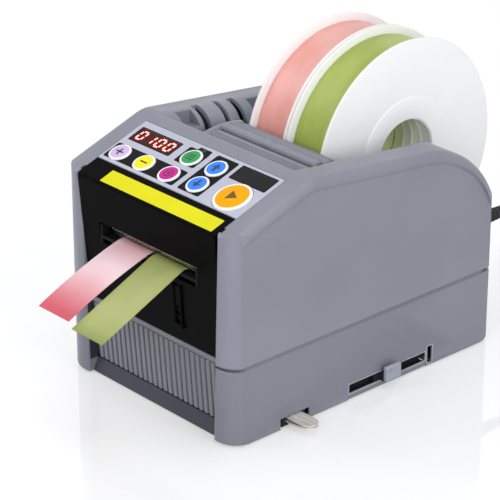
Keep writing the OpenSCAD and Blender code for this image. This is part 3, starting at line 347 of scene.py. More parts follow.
# The pale ribbon tones serve the satin's floats, its sheen and its painted highlights; the shade tones
# are painted shade towards the cut ends
PINK, PINK_LIGHT, PINK_SHADE = (236, 168, 172), (248, 218, 224), (214, 84, 100)
GREEN, GREEN_LIGHT, GREEN_SHADE = (148, 158, 80), (177, 186, 118), (140, 152, 74)
pink_tail = satin("pink_tail", PINK, PINK_LIGHT, PINK_SHADE, (8, -14, -40), (-48, -22))
green_tail = satin("green_tail", GREEN, GREEN_LIGHT, GREEN_SHADE, (-6, -34, -52), (-52, -44))
pink_roll = satin("pink_roll", (230, 149, 139), (244, 190, 182), PINK_SHADE, sheen=0.1)
green_roll = satin("green_roll", (149, 165, 58), (180, 194, 104), GREEN_SHADE, sheen=0.1)


# Making pieces
def linked(name, data):
    """A new object of the scene that shows this data."""
    made = bpy.data.objects.new(name, data)
    bpy.context.scene.collection.objects.link(made)
    return made


def add(name, mesh, material, body="housing", *, slot, smooth=35, replaces=()):
    """A mesh in millimetres becomes a piece that rides on a body."""
    mesh.transform(Matrix.Scale(MM, 4))
    mesh.materials.clear()
    mesh.materials.append(material)
    mesh.shade_smooth()
    mesh.set_sharp_from_angle(angle=math.radians(smooth))
    piece = linked(name, mesh)
    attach(piece, body)
    if replaces:
        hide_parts(*replaces)
    return piece


def flat_faces(piece):
    """Shades each large face flat, up to the roundings beside it."""
    held = piece.modifiers.new("flat_faces", "WEIGHTED_NORMAL")
    held.keep_sharp = True


def mesh_of(points, faces):
    mesh = bpy.data.meshes.new("shape")
    mesh.from_pydata([tuple(p) for p in points], [], [tuple(f) for f in faces])
    form = bmesh.new()
    form.from_mesh(mesh)
    bmesh.ops.recalc_face_normals(form, faces=form.faces)
    form.to_mesh(mesh)
    form.free()
    return mesh


def placed(mesh, place):
    """The mesh moved by a matrix, if there is one, its faces still outwards."""
    if place:
        mesh.transform(place)
        if place.determinant() < 0:
            mesh.flip_normals()
    return mesh


def merged(*meshes):
    """Several closed meshes as one, each left as it is."""
    form = bmesh.new()
    for mesh in meshes:
        form.from_mesh(mesh)
    mesh = bpy.data.meshes.new("merged")
    form.to_mesh(mesh)
    form.free()
    return mesh


def skin(rings, closed=False):
    """A skin over closed rings of points, ended by flat caps or closed on itself."""
    n = len(rings[0])
    points = [p for ring in rings for p in ring]
    faces = []
    for i in range(len(rings) if closed else len(rings) - 1):
        k = (i + 1) % len(rings)
        for j in range(n):
            m = (j + 1) % n
            faces.append((i * n + j, i * n + m, k * n + m, k * n + j))
    if not closed:
        faces.append(tuple(range(n - 1, -1, -1)))
        faces.append(tuple((len(rings) - 1) * n + j for j in range(n)))
    return mesh_of(points, faces)


def arc(centre, r, start, end, steps):
    """Points of an arc; angles in degrees. A radius of two numbers gives an oval."""
    rx, ry = r if isinstance(r, tuple) else (r, r)
    turns = (math.radians(start + (end - start) * i / steps) for i in range(steps + 1))
    return [(centre[0] + rx * math.cos(a), centre[1] + ry * math.sin(a)) for a in turns]


def circle_2d(x, y, r, steps=48):
    return arc((x, y), r, 0, 360 * (steps - 1) / steps, steps - 1)


def rounded_box_2d(x0, y0, x1, y1, r, steps=5):
    """Outline of a rectangle with round corners."""
    corners = [
        ((x1 - r, y0 + r), -90),
        ((x1 - r, y1 - r), 0),
        ((x0 + r, y1 - r), 90),
        ((x0 + r, y0 + r), 180),
    ]
    return [p for centre, a in corners for p in arc(centre, r, a, a + 90, steps)]


def mirrored(right):
    """An outline's right half, followed by the left half on its way back."""
    return right + [(-x, y) for x, y in reversed(right)]


def on_side(side, a, b):
    """Two distances from the middle as x on one side, the smaller x first."""
    return sorted((side * a, side * b))


def level(outline, z):
    """The outline's points at a height."""
    return [(x, y, z) for x, y in outline]


def prism(outline, low, high, place=None):
    """An outline in the XY plane carried from one height to another."""
    return placed(skin([level(outline, low), level(outline, high)]), place)


def rod(r, low, high, place=None, steps=32):
    """A round bar or hole along Z."""
    return prism(circle_2d(0, 0, r, steps), low, high, place)


def side_prism(outline, x0, x1):
    """An outline in the YZ plane carried across the machine."""
    return skin([[(x, y, z) for y, z in outline] for x in (x0, x1)])


def block(x0, y0, z0, x1, y1, z1):
    return prism([(x0, y0), (x1, y0), (x1, y1), (x0, y1)], z0, z1)


def soft_block(low, high, r=0.4, place=None):
    """A box with its edges cut off at 45 degrees by r."""
    (x0, y0, z0), (x1, y1, z1) = low, high
    rings = []
    for z, k in ((z0, r), (z0 + r, 0), (z1 - r, 0), (z1, r)):
        outline = rounded_box_2d(x0 + k, y0 + k, x1 - k, y1 - k, max(r - k, 0.05), 2)
        rings.append(level(outline, z))
    return placed(skin(rings), place)


# Smallest radius of a turned profile: it stands for the axis
AXIS = 0.01


def lathe(profile, steps=96, place=None):
    """Points (radius, height) turned about Z: solid if they start on the axis, else a
    ring round it."""
    turns = [2 * math.pi * i / steps for i in range(steps)]
    solid = profile[0][0] <= AXIS
    if solid:
        rings = [[(r * math.cos(a), r * math.sin(a), h) for a in turns] for r, h in profile]
    else:
        rings = [[(r * math.cos(a), r * math.sin(a), h) for r, h in profile] for a in turns]
    return placed(skin(rings, closed=not solid), place)


def ring_of(inner, outer, low, high, steps=72):
    return lathe([(inner, low), (outer, low), (outer, high), (inner, high)], steps)


def tube(path, r, sides=10):
    """A round bar along a path of points."""
    rings = []
    for i, p in enumerate(path):
        ahead = Vector(path[min(i + 1, len(path) - 1)]) - Vector(path[max(i - 1, 0)])
        across = ahead.cross(Vector((0, 0, 1)))
        if across.length < 1e-6:
            across = Vector((1, 0, 0))
        across.normalize()
        up = across.cross(ahead).normalized()
        turns = [2 * math.pi * j / sides for j in range(sides)]
        rings.append([Vector(p) + r * (across * math.cos(a) + up * math.sin(a)) for a in turns])
    return skin(rings)


def combine(mesh, tools, operation="DIFFERENCE"):
    """The mesh after each tool has been cut from it, added to it or kept with it."""
    held = linked("held", mesh)
    for tool in tools:
        other = linked("tool", tool)
        step = held.modifiers.new("step", "BOOLEAN")
        step.object = other
        step.operation = operation
        step.solver = "MANIFOLD"
        bpy.context.view_layer.update()
        seen = held.evaluated_get(bpy.context.evaluated_depsgraph_get())
        result = bpy.data.meshes.new_from_object(seen)
        held.modifiers.clear()
        held.data = result
        bpy.data.objects.remove(other)
    bpy.data.objects.remove(held)
    return result


# Turns that point the Z axis another way
ALONG_X = Matrix.Rotation(math.pi / 2, 4, "Y")
AGAINST_X = Matrix.Rotation(-math.pi / 2, 4, "Y")
REARWARD = Matrix.Rotation(-math.pi / 2, 4, "X")
FORWARD = Matrix.Rotation(math.pi / 2, 4, "X")


def at(x, y, z, turn=None):
    """Moves to a place, after a turn."""
    place = Matrix.Translation((x, y, z))
    return place @ turn if turn else place


# Camera where the photograph was taken from, then the cord
LENS, SENSOR, NEAREST, FURTHEST = 175.7, 36, 0.05, 20
CAMERA_TURN, CAMERA_TIP = math.radians(47.9), math.radians(24.6)
CAMERA_PLACE = (0.8995, -0.8385, 0.6254)


def make_camera():
    data = bpy.data.cameras.new("camera")
    data.lens = LENS
    data.sensor_width = SENSOR
    data.clip_start = NEAREST
    data.clip_end = FURTHEST
    camera = linked("camera", data)
    level = math.cos(CAMERA_TIP)
    sideways, forwards = math.sin(CAMERA_TURN) * level, math.cos(CAMERA_TURN) * level
    away = Vector((sideways, -forwards, math.sin(CAMERA_TIP)))
    camera.location = CAMERA_PLACE
    camera.rotation_euler = (-away).to_track_quat("-Z", "Y").to_euler()
    bpy.context.scene.camera = camera


make_camera()

RELIEF_X, RELIEF_Z, RELIEF_L = 54, 69, 22
COIL_X, COIL_Y = 52, REAR + 102
COIL_TURNS, TURN_PITCH, COIL_IN, COIL_LOW, COIL_STEPS = 3.125, 6.2, 22, 2.75, 24
COIL_OUT = COIL_IN + COIL_TURNS * TURN_PITCH
PLUG = at(COIL_X - CORD_D, COIL_Y + COIL_OUT, COIL_LOW + TURN_PITCH)
PLUG_FOOT, PLUG_FACE, PLUG_HALF_W, PLUG_HALF_T = 27, 51, 10.5, 6.9
PIN_OUT, PIN_HALF_W, PIN_HALF_T, PIN_END, PIN_HOLE_R = 6.35, 3.2, 0.75, 66.8, 1.5


def coil_point(t):
    """Place on the coil after t turns, in spiralling low and out spiralling high."""
    loops = 2 * COIL_TURNS
    r = COIL_OUT - TURN_PITCH * (t if t < COIL_TURNS else loops - t)
    climb = min(1, max(0, (t - COIL_TURNS + 0.25) / 0.5))
    climb = climb * climb * (3 - 2 * climb)
    a = 2 * math.pi * t
    height = COIL_LOW + TURN_PITCH * climb
    return (COIL_X + r * math.cos(a), COIL_Y + r * math.sin(a), height)


def smooth_path(points, parts=6):
    """A curve through the points, as closer points."""
    out = []
    for i in range(len(points) - 1):
        p0 = Vector(points[max(i - 1, 0)])
        p1, p2 = Vector(points[i]), Vector(points[i + 1])
        p3 = Vector(points[min(i + 2, len(points) - 1)])
        for j in range(parts):
            t = j / parts
            bend = (2 * p0 - 5 * p1 + 4 * p2 - p3) * t * t
            twist = (3 * p1 - p0 - 3 * p2 + p3) * t**3
            out.append(0.5 * (2 * p1 + (p2 - p0) * t + bend + twist))
    out.append(Vector(points[-1]))
    return out


def make_relief():
    """Strain relief: a flange on the wall, then a tapered sleeve with ring grooves."""
    flange_r, flange_t, sleeve_r, taper = 5.5, 2.1, 4.1, 0.95 / 20
    grooves, pitch, first = 5, 3.2, 3.4
    profile = [(AXIS, 0.1), (flange_r, 0.1), (flange_r, flange_t - 0.4)]
    profile += [(flange_r - 0.4, flange_t), (sleeve_r, flange_t)]
    for i in range(grooves):
        z = first + i * pitch
        r = sleeve_r - taper * (z - 2)
        profile += [(r, z), (r - 0.55, z + 0.3), (r - 0.6, z + 1.2), (r - 0.1, z + 1.5)]
    end_r = CORD_D / 2 + 0.3
    profile += [(end_r + 0.2, RELIEF_L - 0.4), (end_r, RELIEF_L), (AXIS, RELIEF_L)]
    mesh = lathe(profile, 40, at(RELIEF_X, REAR, RELIEF_Z, REARWARD))
    return add("cord_sleeve", mesh, black_rubber, replaces=["strain_relief"], slot="cord_black")


def make_plug():
    """A flat two-pin plug with a grooved neck."""
    grooves, pitch, first, neck_r, widening = 5, 3.8, 2, 3.2, 0.055
    neck = [(AXIS, 0), (neck_r - 0.1, 0)]
    for i in range(grooves):
        z = first + i * pitch
        r = neck_r + z * widening
        neck += [(r, z), (r - 0.6, z + 0.3), (r - 0.6, z + 1.5), (r + 0.1, z + 1.8)]
    collar_r, sunk = 7.5, 0.5
    neck += [(4.6, PLUG_FOOT - 5.5), (collar_r - 0.3, PLUG_FOOT - 4), (collar_r, PLUG_FOOT - 3)]
    neck += [(collar_r, PLUG_FOOT + sunk), (AXIS, PLUG_FOOT + sunk)]
    low, high = (-PLUG_HALF_T, -PLUG_HALF_W, PLUG_FOOT), (PLUG_HALF_T, PLUG_HALF_W, PLUG_FACE)
    waist_x, waist_r, middle = 13.6, 4.4, (PLUG_FOOT + PLUG_FACE) / 2
    waist = [prism(circle_2d(s * waist_x, middle, waist_r, 32), -12, 12, FORWARD) for s in (-1, 1)]
    shell = combine(lathe(neck, 40), [combine(soft_block(low, high, 1.4), waist)], "UNION")
    place = PLUG @ AGAINST_X
    plug = add("plug_body", placed(shell, place), black_rubber, replaces=["power_plug"],
               slot="cord_black")
    pins = []
    for y in (-PIN_OUT, PIN_OUT):
        low = (-PIN_HALF_W, y - PIN_HALF_T, PLUG_FACE - 0.4)
        high = (PIN_HALF_W, y + PIN_HALF_T, PIN_END)
        hole = prism(circle_2d(0, PIN_END - 3.4, PIN_HOLE_R, 20), -14, 14, FORWARD)
        pins.append(combine(soft_block(low, high, 0.3), [hole]))
    blades = add("plug_pins", placed(merged(*pins), place), steel, slot="bright_steel")
    return [plug, blades]


def make_cord():
    """Mains cord: down from the relief, round its coil and on to the plug."""
    route = [
        (RELIEF_X, REAR + RELIEF_L, RELIEF_Z),
        (54, 130, 68.6),
        (56, 139, 66.5),
        (60, 147.5, 61),
        (66, 154.5, 52),
        (72.5, 160, 41.5),
        (79, 164.5, 31),
        (85, 168.5, 21.5),
        (90, 173, 13.2),
        (93, 179, 7),
        (94, 185.5, 3.8),
        (93.8, 191, 2.8),
        (COIL_X + COIL_OUT, COIL_Y - CORD_D, COIL_LOW),
        coil_point(0),
    ]
    turns = int(2 * COIL_TURNS * COIL_STEPS)
    coil = [coil_point(i / COIL_STEPS) for i in range(1, turns + 1)]
    path = smooth_path(route) + [Vector(p) for p in coil] + [PLUG.translation]
    curve = bpy.data.curves.new("mains_cord", "CURVE")
    curve.dimensions = "3D"
    curve.bevel_depth = CORD_D / 2 * MM
    curve.bevel_resolution = 6
    curve.use_fill_caps = True
    line = curve.splines.new("POLY")
    line.points.add(len(path) - 1)
    for point, place in zip(line.points, path):
        point.co = (*(place * MM), 1)
    line.use_smooth = True
    curve.materials.append(cord_skin)
    cord = linked("mains_cord", curve)
    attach(cord, "housing")
    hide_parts("power_cord", "cord_coil")
    make_relief()
    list(make_plug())


make_cord()


# Housing: the part's solid with finer curves, and the small forms that a mould has
def panel_z(y):
    return FOLD_Z + (y - FRONT) * math.tan(PANEL_TILT)


def top_z(y):
    return CREST_Z - (y - CREST_Y) * math.tan(TOP_TILT)


def crest_point(panel_in, top_in):
    """Where the panel line and the top line meet, each moved inwards."""
    slopes = math.tan(PANEL_TILT) + math.tan(TOP_TILT)
    drop = panel_in / math.cos(PANEL_TILT)
    shift = (drop - top_in / math.cos(TOP_TILT)) / slopes
    return (CREST_Y + shift, CREST_Z + shift * math.tan(PANEL_TILT) - drop)


def side_outline(top_in, panel_in, rear_in, front_in=0):
    """Side outline of the housing, each side of it moved inwards by its own distance."""
    tilt, fall = math.degrees(PANEL_TILT), math.degrees(TOP_TILT)
    fold_r = max(FOLD_R - panel_in, 0.05)
    fold_y = FRONT + front_in + fold_r
    fold_z = panel_z(fold_y) - (panel_in + fold_r) / math.cos(PANEL_TILT)
    crest_r = CREST_ROUND - top_in
    rear_y = REAR - REAR_R
    rear = (rear_y, top_z(rear_y) - REAR_R / math.cos(TOP_TILT))
    return (
        [(FRONT + front_in, BENEATH)]
        + arc((fold_y, fold_z), fold_r, 180, 90 + tilt, 8)
        + arc(crest_point(panel_in + crest_r, top_in + crest_r), crest_r, 90 + tilt, 90 - fall, 10)
        + arc(rear, (REAR_R - rear_in, REAR_R - top_in), 90 - fall, 0, 44)
        + [(REAR - rear_in, BENEATH)]
    )


def rounding(r, steps):
    """How far a rounding of radius r stands in, across and along, at each of its steps."""
    turns = (math.pi / 2 * i / steps for i in range(steps + 1))
    return [(r * (1 - math.cos(a)), r * (1 - math.sin(a))) for a in turns]


def outer_rows():
    """Outlines from the recessed side, up its step and round the long edge."""
    rows = []
    steps = 6
    for i in range(steps, 0, -1):
        t = i / steps
        insets = [EDGE_R + reach * t for reach in (RECESS_TOP, RECESS_PANEL, RECESS_REAR)]
        rows.append((HALF_W - RECESS * t * t, insets))
    return rows + [(HALF_W - across, [inset] * 3) for across, inset in rounding(EDGE_R, 10)]


def side_loft(rows, front_in=0):
    """Outlines swept across the machine, from one side to the other."""
    whole = rows + [(-x, insets) for x, insets in reversed(rows)]
    return skin([[(x, y, z) for y, z in side_outline(*insets, front_in)] for x, insets in whole])


def plan_ring(k, z):
    """Outline of the housing from above, moved inwards by k, at a height."""
    box = grown((-HALF_W, FRONT, HALF_W, REAR), -k)
    return level(rounded_box_2d(*box, CORNER_R - k, 18), z)


def outer_form():
    foot = [(FOOT_Z + up, k) for up, k in rounding(FOOT_R, 6)]
    plan = skin([plan_ring(k, z) for z, k in foot + [(ABOVE, 0)]])
    return combine(side_loft(outer_rows()), [plan], "INTERSECT")


def inner_form(k):
    """The housing's outer form moved inwards by k, with plain edges."""
    r = max(EDGE_R + WALL - k, 1)
    rows = [(HALF_W - k - across, [k + inset] * 3) for across, inset in rounding(r, 6)]
    plan = skin([plan_ring(k, z) for z in (BENEATH + 1, ABOVE)])
    return combine(side_loft(rows, k), [plan], "INTERSECT")


def front_zone(g):
    """Space of the front opening, grown sideways by g."""
    low, top = OPEN_LOW + g, OPEN_TOP + g
    shape = mirrored([(low, BENEATH), (top, FOLD_Z), (top, ABOVE)])
    return prism(shape, 0, BAND_END - FRONT + 1, at(0, BAND_END, 0, FORWARD))


# Plane that lies on the top beside the bay: x across, y up, -z to the rear
TOP_PLANE = (
    at(0, DECK_END, top_z(DECK_END))
    @ Matrix.Rotation(-TOP_TILT, 4, "X")
    @ FORWARD
)


def shoulder_tool(g):
    """Space above the bay, whose sides curve out into the shoulders."""
    reach, r, high, overlap = BAY_HW + SHOULDER_R, SHOULDER_R - g, 66, 1
    start = math.degrees(math.asin(overlap / r))
    right = arc((reach, -SHOULDER_R), r, 180 - start, 90, 16) + [(reach, high)]
    return prism(mirrored(right), g, -BODY_L, TOP_PLANE)


def bay_tools(g):
    """Tools for the reel bay, the well of the roller cover and the shoulders over them."""
    half = BAY_HW + g
    return [
        block(-half, BAY_START - g, BAY_Z - g, half, REAR + 100, ABOVE),
        block(-half, DECK_END - g, COVER_FLOOR - g, half, BAY_START, ABOVE),
        shoulder_tool(g),
    ]


# Pockets as (run, length, depth) and slots as (run, length) of the shoulders
POCKETS = [(66.5, 11, 9), (118.5, 15, 8)]
SLOTS = [(80.5, 5), (96.5, 3.4), (106.7, 4.8)]
SLOT_REACH, SLOT_DEPTH = {-1: 14, 1: 6.5}, 17
FIN_T, FIN_SUNK, FIN_H = 1.2, 2.6, 2.4


def pocket_tools(g):
    """Tools for the pockets in the inner faces of the shoulders."""
    tools = []
    for side in (-1, 1):
        x0, x1 = on_side(side, BAY_HW - 4 - g, BAY_HW + 10 + g)
        for run, length, depth in POCKETS:
            top = top_z(back(run))
            low, high = top - depth - g, top + 20 + g
            tools.append(block(x0, back(run) - g, low, x1, back(run + length) + g, high))
    return tools


def shoulder_slots():
    """Tools for the slots across the shoulders; the left ones reach further out."""
    tools = []
    for side in (-1, 1):
        x0, x1 = on_side(side, BAY_HW - 2, BAY_HW + SLOT_REACH[side])
        for run, length in SLOTS:
            top = top_z(back(run))
            tools.append(block(x0, back(run), top - SLOT_DEPTH, x1, back(run + length), top + 3))
    return tools


def make_shoulder_fins():
    """A thin curved rib inside each slot of the shoulders, a little below the surface."""
    fins = []
    outer_r = SHOULDER_R - FIN_SUNK
    for side, start, end in ((-1, 10, 84), (1, 170, 96)):
        centre = (side * (BAY_HW + SHOULDER_R), -SHOULDER_R)
        outline = arc(centre, outer_r, start, end, 12) + arc(centre, outer_r - FIN_H, end, start, 12)
        for run, length in SLOTS:
            middle = DECK_END - back(run + length / 2)
            fins.append(prism(outline, middle + FIN_T / 2, middle - FIN_T / 2, TOP_PLANE))
    # The fins' darker grey is painted shade inside the slots
    add("shoulder_fins", merged(*fins), seam_shade_grey, slot="housing_plastic")


# Plane of the control panel: x across, y up its slope from the fold, z outwards
PANEL_TURN = Matrix.Rotation(PANEL_TILT, 4, "X")
PANEL = at(0, FRONT, FOLD_Z, PANEL_TURN)
KEYS = {
    "plus": (-46.8, 24),
    "minus": (-26.9, 24),
    "select": (-6.5, 24),
    "mode": (-5.8, 39.9),
    "up": (14.2, 39.9),
    "down": (14.9, 25.4),
    "start": (40.6, 27),
}
KEY_R, START_R, KEY_GAP = 6.5, 10.9, 0.3
MEMBRANE = (-55.8, 15.45, 55.8, 51.15)
DISPLAY = (-51.8, 35.6, -20, 45.8)
WINDOW = (26.5, 38.7, 52.4, 48.5)
LAMP, LAMP_R = (-3.5, 47.6), 1.46
TWEEZER_Y = back(45)
CATCH_SLOT = (back(85), back(144), 4.4, 9.9)
CATCH_SLIT = (back(145.5), back(149.3), 2.3, 12.6)
TWEEZER_NOTCH = (TWEEZER_Y - 10.5, TWEEZER_Y + 10.5, -0.2, 7.2)
SWITCH_X, SWITCH_Z, SWITCH_HW, SWITCH_HH = 52, 26, 6.6, 9.6
CRADLE_REACH, CRADLE_ANGLE, AXLE_HOLE_R = FLANGE_R + 5 + 0.3, math.radians(25), 2.06


def key_radius(name):
    return START_R if name == "start" else KEY_R


def grown(box, g):
    return (box[0] - g, box[1] - g, box[2] + g, box[3] + g)


def panel_plate(box, r, low, high):
    """A plate with round corners that lies on the panel's slope."""
    return prism(rounded_box_2d(*box, r), low, high, PANEL)


def panel_openings(g):
    """Tools for the holes of the panel: the keys, the lamp and the two windows."""
    through = (-20, 5, PANEL)
    tools = [prism(circle_2d(*KEYS[name], key_radius(name) + g, 72), *through) for name in KEYS]
    tools += [panel_plate(grown(box, 0.1), 0.3, *through[:2]) for box in (DISPLAY, WINDOW)]
    return tools + [prism(circle_2d(*LAMP, LAMP_R + 0.04, 24), *through)]


def pillar_rounding():
    """Tools that round the inner edges of the front pillars."""
    r = 3.5
    lean = math.atan((OPEN_TOP - OPEN_LOW) / FOLD_Z)
    outline = [(-1, -1), (-1, r)] + arc((r, r), r, 180, 270, 10) + [(r, -1)]
    tools = []
    for side in (-1, 1):
        place = at(side * OPEN_LOW, FRONT, 0, Matrix.Rotation(side * lean, 4, "Y"))
        tools.append(prism([(side * x, y) for x, y in outline], BENEATH - 2, FOLD_Z + 4, place))
    return tools


def side_cut(x0, y0, y1, z0, z1):
    """Tool that cuts the right side from a depth outwards."""
    return block(x0, y0, z0, HALF_W + 6, y1, z1)


def side_cuts():
    """Openings and shallow steps of the right side."""
    inside, floor = HALF_W - 6, HALF_W - RECESS
    y0, y1, z0, z1 = CATCH_SLOT
    return [
        side_cut(inside, *CATCH_SLOT),
        side_cut(inside, *CATCH_SLIT),
        side_cut(floor - 0.7, y0 - 0.8, y1 + 0.8, -1, z0 + 0.6),
        side_cut(floor - 0.35, y0 - 0.8, y1 + 0.8, z0, z1 + 0.7),
        side_cut(inside, *TWEEZER_NOTCH),
    ]


def rear_cuts():
    """Holes of the rear wall for the cord and the power switch."""
    x0, x1 = SWITCH_X - SWITCH_HW, SWITCH_X + SWITCH_HW
    z0, z1 = SWITCH_Z - SWITCH_HH, SWITCH_Z + SWITCH_HH
    cord_hole = rod(3.8, -8, 8, at(RELIEF_X, REAR, RELIEF_Z, REARWARD))
    return [cord_hole, block(x0, REAR - 8, z0, x1, REAR + 4, z1)]


def axle_holes():
    """Holes of the bay's walls for the pins of the two carrying rollers."""
    tools = []
    for side in (-1, 1):
        y = back(REEL_RUN) + side * CRADLE_REACH * math.sin(CRADLE_ANGLE)
        z = REEL_Z - CRADLE_REACH * math.cos(CRADLE_ANGLE)
        for x in (-1, 1):
            place = at(x * (BAY_HW + WALL / 2), y, z, ALONG_X)
            tools.append(rod(AXLE_HOLE_R, -WALL, WALL, place, 24))
    return tools


def fold_notches():
    """Notches at the fold for the tabs of the black cover."""
    ends = [on_side(side, OPEN_TOP - 0.5, OPEN_TOP + 1.6) for side in (-1, 1)]
    return [block(x0, back(3.2), FOLD_Z - 3, x1, back(6.7), FOLD_Z + 6) for x0, x1 in ends]


def layer(low, high):
    """Everything between two heights."""
    return block(-HALF_W - 30, FRONT - 50, low, HALF_W + 30, REAR + 50, high)


def seam_forms():
    """Two forms that slope inwards on either side of the seam: round the corners, and
    on the recessed sides."""
    half, slope, reach = SEAM_GAP / 2, 0.9, REAR + 20
    low, high = SEAM_Z - half, SEAM_Z + half
    plan = [(BENEATH + 1, 0), (low - slope, 0), (low, slope)]
    plan += [(high, slope), (high + slope, 0), (ABOVE, 0)]
    side, wide = HALF_W - RECESS, HALF_W + 2
    slab = [(BENEATH + 1, wide), (low - slope - 0.01, wide), (low - slope, side), (low, side - slope)]
    slab += [(high, side - slope), (high + slope, side), (high + slope + 0.01, wide), (ABOVE, wide)]
    sides = [[(-x, -reach, z), (x, -reach, z), (x, reach, z), (-x, reach, z)] for z, x in slab]
    return [skin([plan_ring(k, z) for z, k in plan]), skin(sides)]


def make_housing():
    """Upper and lower shell, cut from one hollow form, and the lip inside their seam."""
    hollow = combine(inner_form(WALL), [front_zone(WALL)] + bay_tools(WALL) + pocket_tools(1.6))
    cuts = [hollow, front_zone(0)] + bay_tools(0) + pocket_tools(0)
    deck_floor = COVER_FLOOR - WALL - 1
    cuts.append(block(-BAY_HW, DECK_END, deck_floor, BAY_HW, BAY_START - WALL, COVER_FLOOR + 1))
    # Passages of the ribbon through the walls of the bay and the deck
    for y, low, high in (
        (BAY_START, FEED_Z - FEED_R - 2, FEED_Z + FEED_R + 3),
        (DECK_END, deck_floor, deck_floor + 9),
    ):
        cuts.append(block(-PASSAGE_HW, y - WALL - 1, low, PASSAGE_HW, y + 1, high))
    cuts += shoulder_slots() + pillar_rounding() + fold_notches()
    cuts.append(panel_plate(grown(MEMBRANE, 0.35), 0.8, -0.8, 5))
    cuts += panel_openings(0.45) + side_cuts() + rear_cuts() + axle_holes()
    whole = combine(combine(outer_form(), cuts), seam_forms(), "INTERSECT")
    seam_low, seam_high = SEAM_Z - SEAM_GAP / 2, SEAM_Z + SEAM_GAP / 2
    # The lower shell takes the darker grey of painted shade
    for name, low, high, finish in (
        ("upper", seam_high, ABOVE, housing_skin),
        ("lower", FOOT_Z, seam_low, shaded_lower_skin),
    ):
        mesh = combine(whole.copy(), [layer(low, high)], "INTERSECT")
        shell = add(f"{name}_shell", mesh, finish, smooth=14, slot="housing_plastic",
                    replaces=[f"{name}_housing"])
        flat_faces(shell)
    # The lip's darker grey is painted shade in the seam
    lip = combine(inner_form(RECESS + 0.8), [inner_form(WALL + 1.75), front_zone(WALL)])
    lip = combine(combine(lip, bay_tools(WALL)), [layer(seam_low - 5, seam_high + 4)], "INTERSECT")
    add("seam_lip", lip, seam_shade_grey, slot="housing_plastic")


make_housing()
make_shoulder_fins()


# Front: the black cover with its outlet, the ribbed panel and their small forms
COVER_LOW, COVER_T, COVER_LEAN = 47, 2.5, 5
COVER_TURN = math.atan(COVER_LEAN / (FOLD_Z - COVER_LOW))
COVER_FACE = at(0, back(COVER_LEAN), COVER_LOW, Matrix.Rotation(math.pi / 2 + COVER_TURN, 4, "X"))
OUTLET_HW, OUTLET_LOW, OUTLET_TOP = 39.5, 84, 95.5
YELLOW_STRIP = (-38, 1.3, 51.5, 11.1)
RIB_COUNT, RIB_W, RIB_PROUD, RIB_SPAN, RIB_TOP = 24, 2.8, 0.9, 100, 43.6
PANEL_TOP_Z, PANEL_LOW_Z, PANEL_RUN_IN, SILL_H = 46.6, 9.8, 8, 8.4


def fold_corner(r):
    """Middle of a rounding that touches the cover's leaning face and the panel."""
    face = (math.cos(COVER_TURN), math.sin(COVER_TURN))
    slope = (math.sin(PANEL_TILT), -math.cos(PANEL_TILT))
    size = face[0] * slope[1] - face[1] * slope[0]
    y = FRONT + r * (slope[1] - face[1]) / size
    return (y, FOLD_Z + r * (face[0] - slope[0]) / size)


def open_half(z):
    """Half width of the front opening at a height."""
    return OPEN_LOW + (OPEN_TOP - OPEN_LOW) * min(z, FOLD_Z) / FOLD_Z


def front_strip(low, high, g=0.15):
    """Space between the front pillars from one height to another, tapered as they are."""
    levels = [low] + [z for z in (FOLD_Z,) if low < z < high] + [high]
    rings = []
    for z in levels:
        w = open_half(z) - g
        rings.append([(-w, FRONT - 10, z), (w, FRONT - 10, z), (w, 20, z), (-w, 20, z)])
    return skin(rings)


def make_front_cover():
    """Black sheet bent over the fold, its two tabs, and the strip that is printed on it."""
    turn, tilt = math.degrees(COVER_TURN), math.degrees(PANEL_TILT)
    inner = fold_corner(COVER_T)
    cos, sin = math.cos(PANEL_TILT), math.sin(PANEL_TILT)
    foot = (back(COVER_LEAN), COVER_LOW)
    end = (BAND_END - 0.1, panel_z(BAND_END - 0.1))
    profile = [(foot[0] + 0.3, foot[1]), (foot[0], foot[1] + 0.4)]
    profile += arc(fold_corner(FOLD_R), FOLD_R, 180 + turn, 90 + tilt, 12)
    profile += [end, (end[0] + COVER_T * sin, end[1] - COVER_T * cos), inner]
    profile += [(foot[0] + COVER_T, foot[1])]
    sheet = side_prism(profile, -WIDE, WIDE)
    sheet = combine(sheet, [front_strip(COVER_LOW - 1, ABOVE)], "INTERSECT")
    mouth = rounded_box_2d(-OUTLET_HW, OUTLET_LOW, OUTLET_HW, OUTLET_TOP, 0.6)
    wide = rounded_box_2d(-OUTLET_HW - 1, OUTLET_LOW - 1, OUTLET_HW + 1, OUTLET_TOP + 1, 1.4)
    # The mouth widens towards the front, following the leaning face
    through = prism(mouth, -12, 20, at(0, FRONT, 0, FORWARD))
    face_y = back(COVER_LEAN * (FOLD_Z - OUTLET_TOP) / (FOLD_Z - COVER_LOW))
    flare = skin([[(x, face_y - 1.2, z) for x, z in wide], [(x, face_y + 1.1, z) for x, z in mouth]])
    tabs = []
    for side in (-1, 1):
        x0, x1 = on_side(side, OPEN_TOP - 0.6, OPEN_TOP + 1.5)
        y, z = back(5), panel_z(back(5))
        low, high = (x0, -1.4, -3), (x1, 1.4, -0.35)
        tabs.append(soft_block(low, high, 0.3, at(0, y, z, PANEL_TURN)))
    cover = add("black_cover", combine(sheet, [through, flare]), cover_black,
                replaces=["front_cover"], slot="black_plastic")
    flat_faces(cover)
    add("cover_tabs", merged(*tabs), inner_black, slot="black_plastic")
    strip = panel_plate(YELLOW_STRIP, 0.6, -0.3, 0.09)
    add("yellow_strip", strip, strip_yellow, slot="membrane_film")


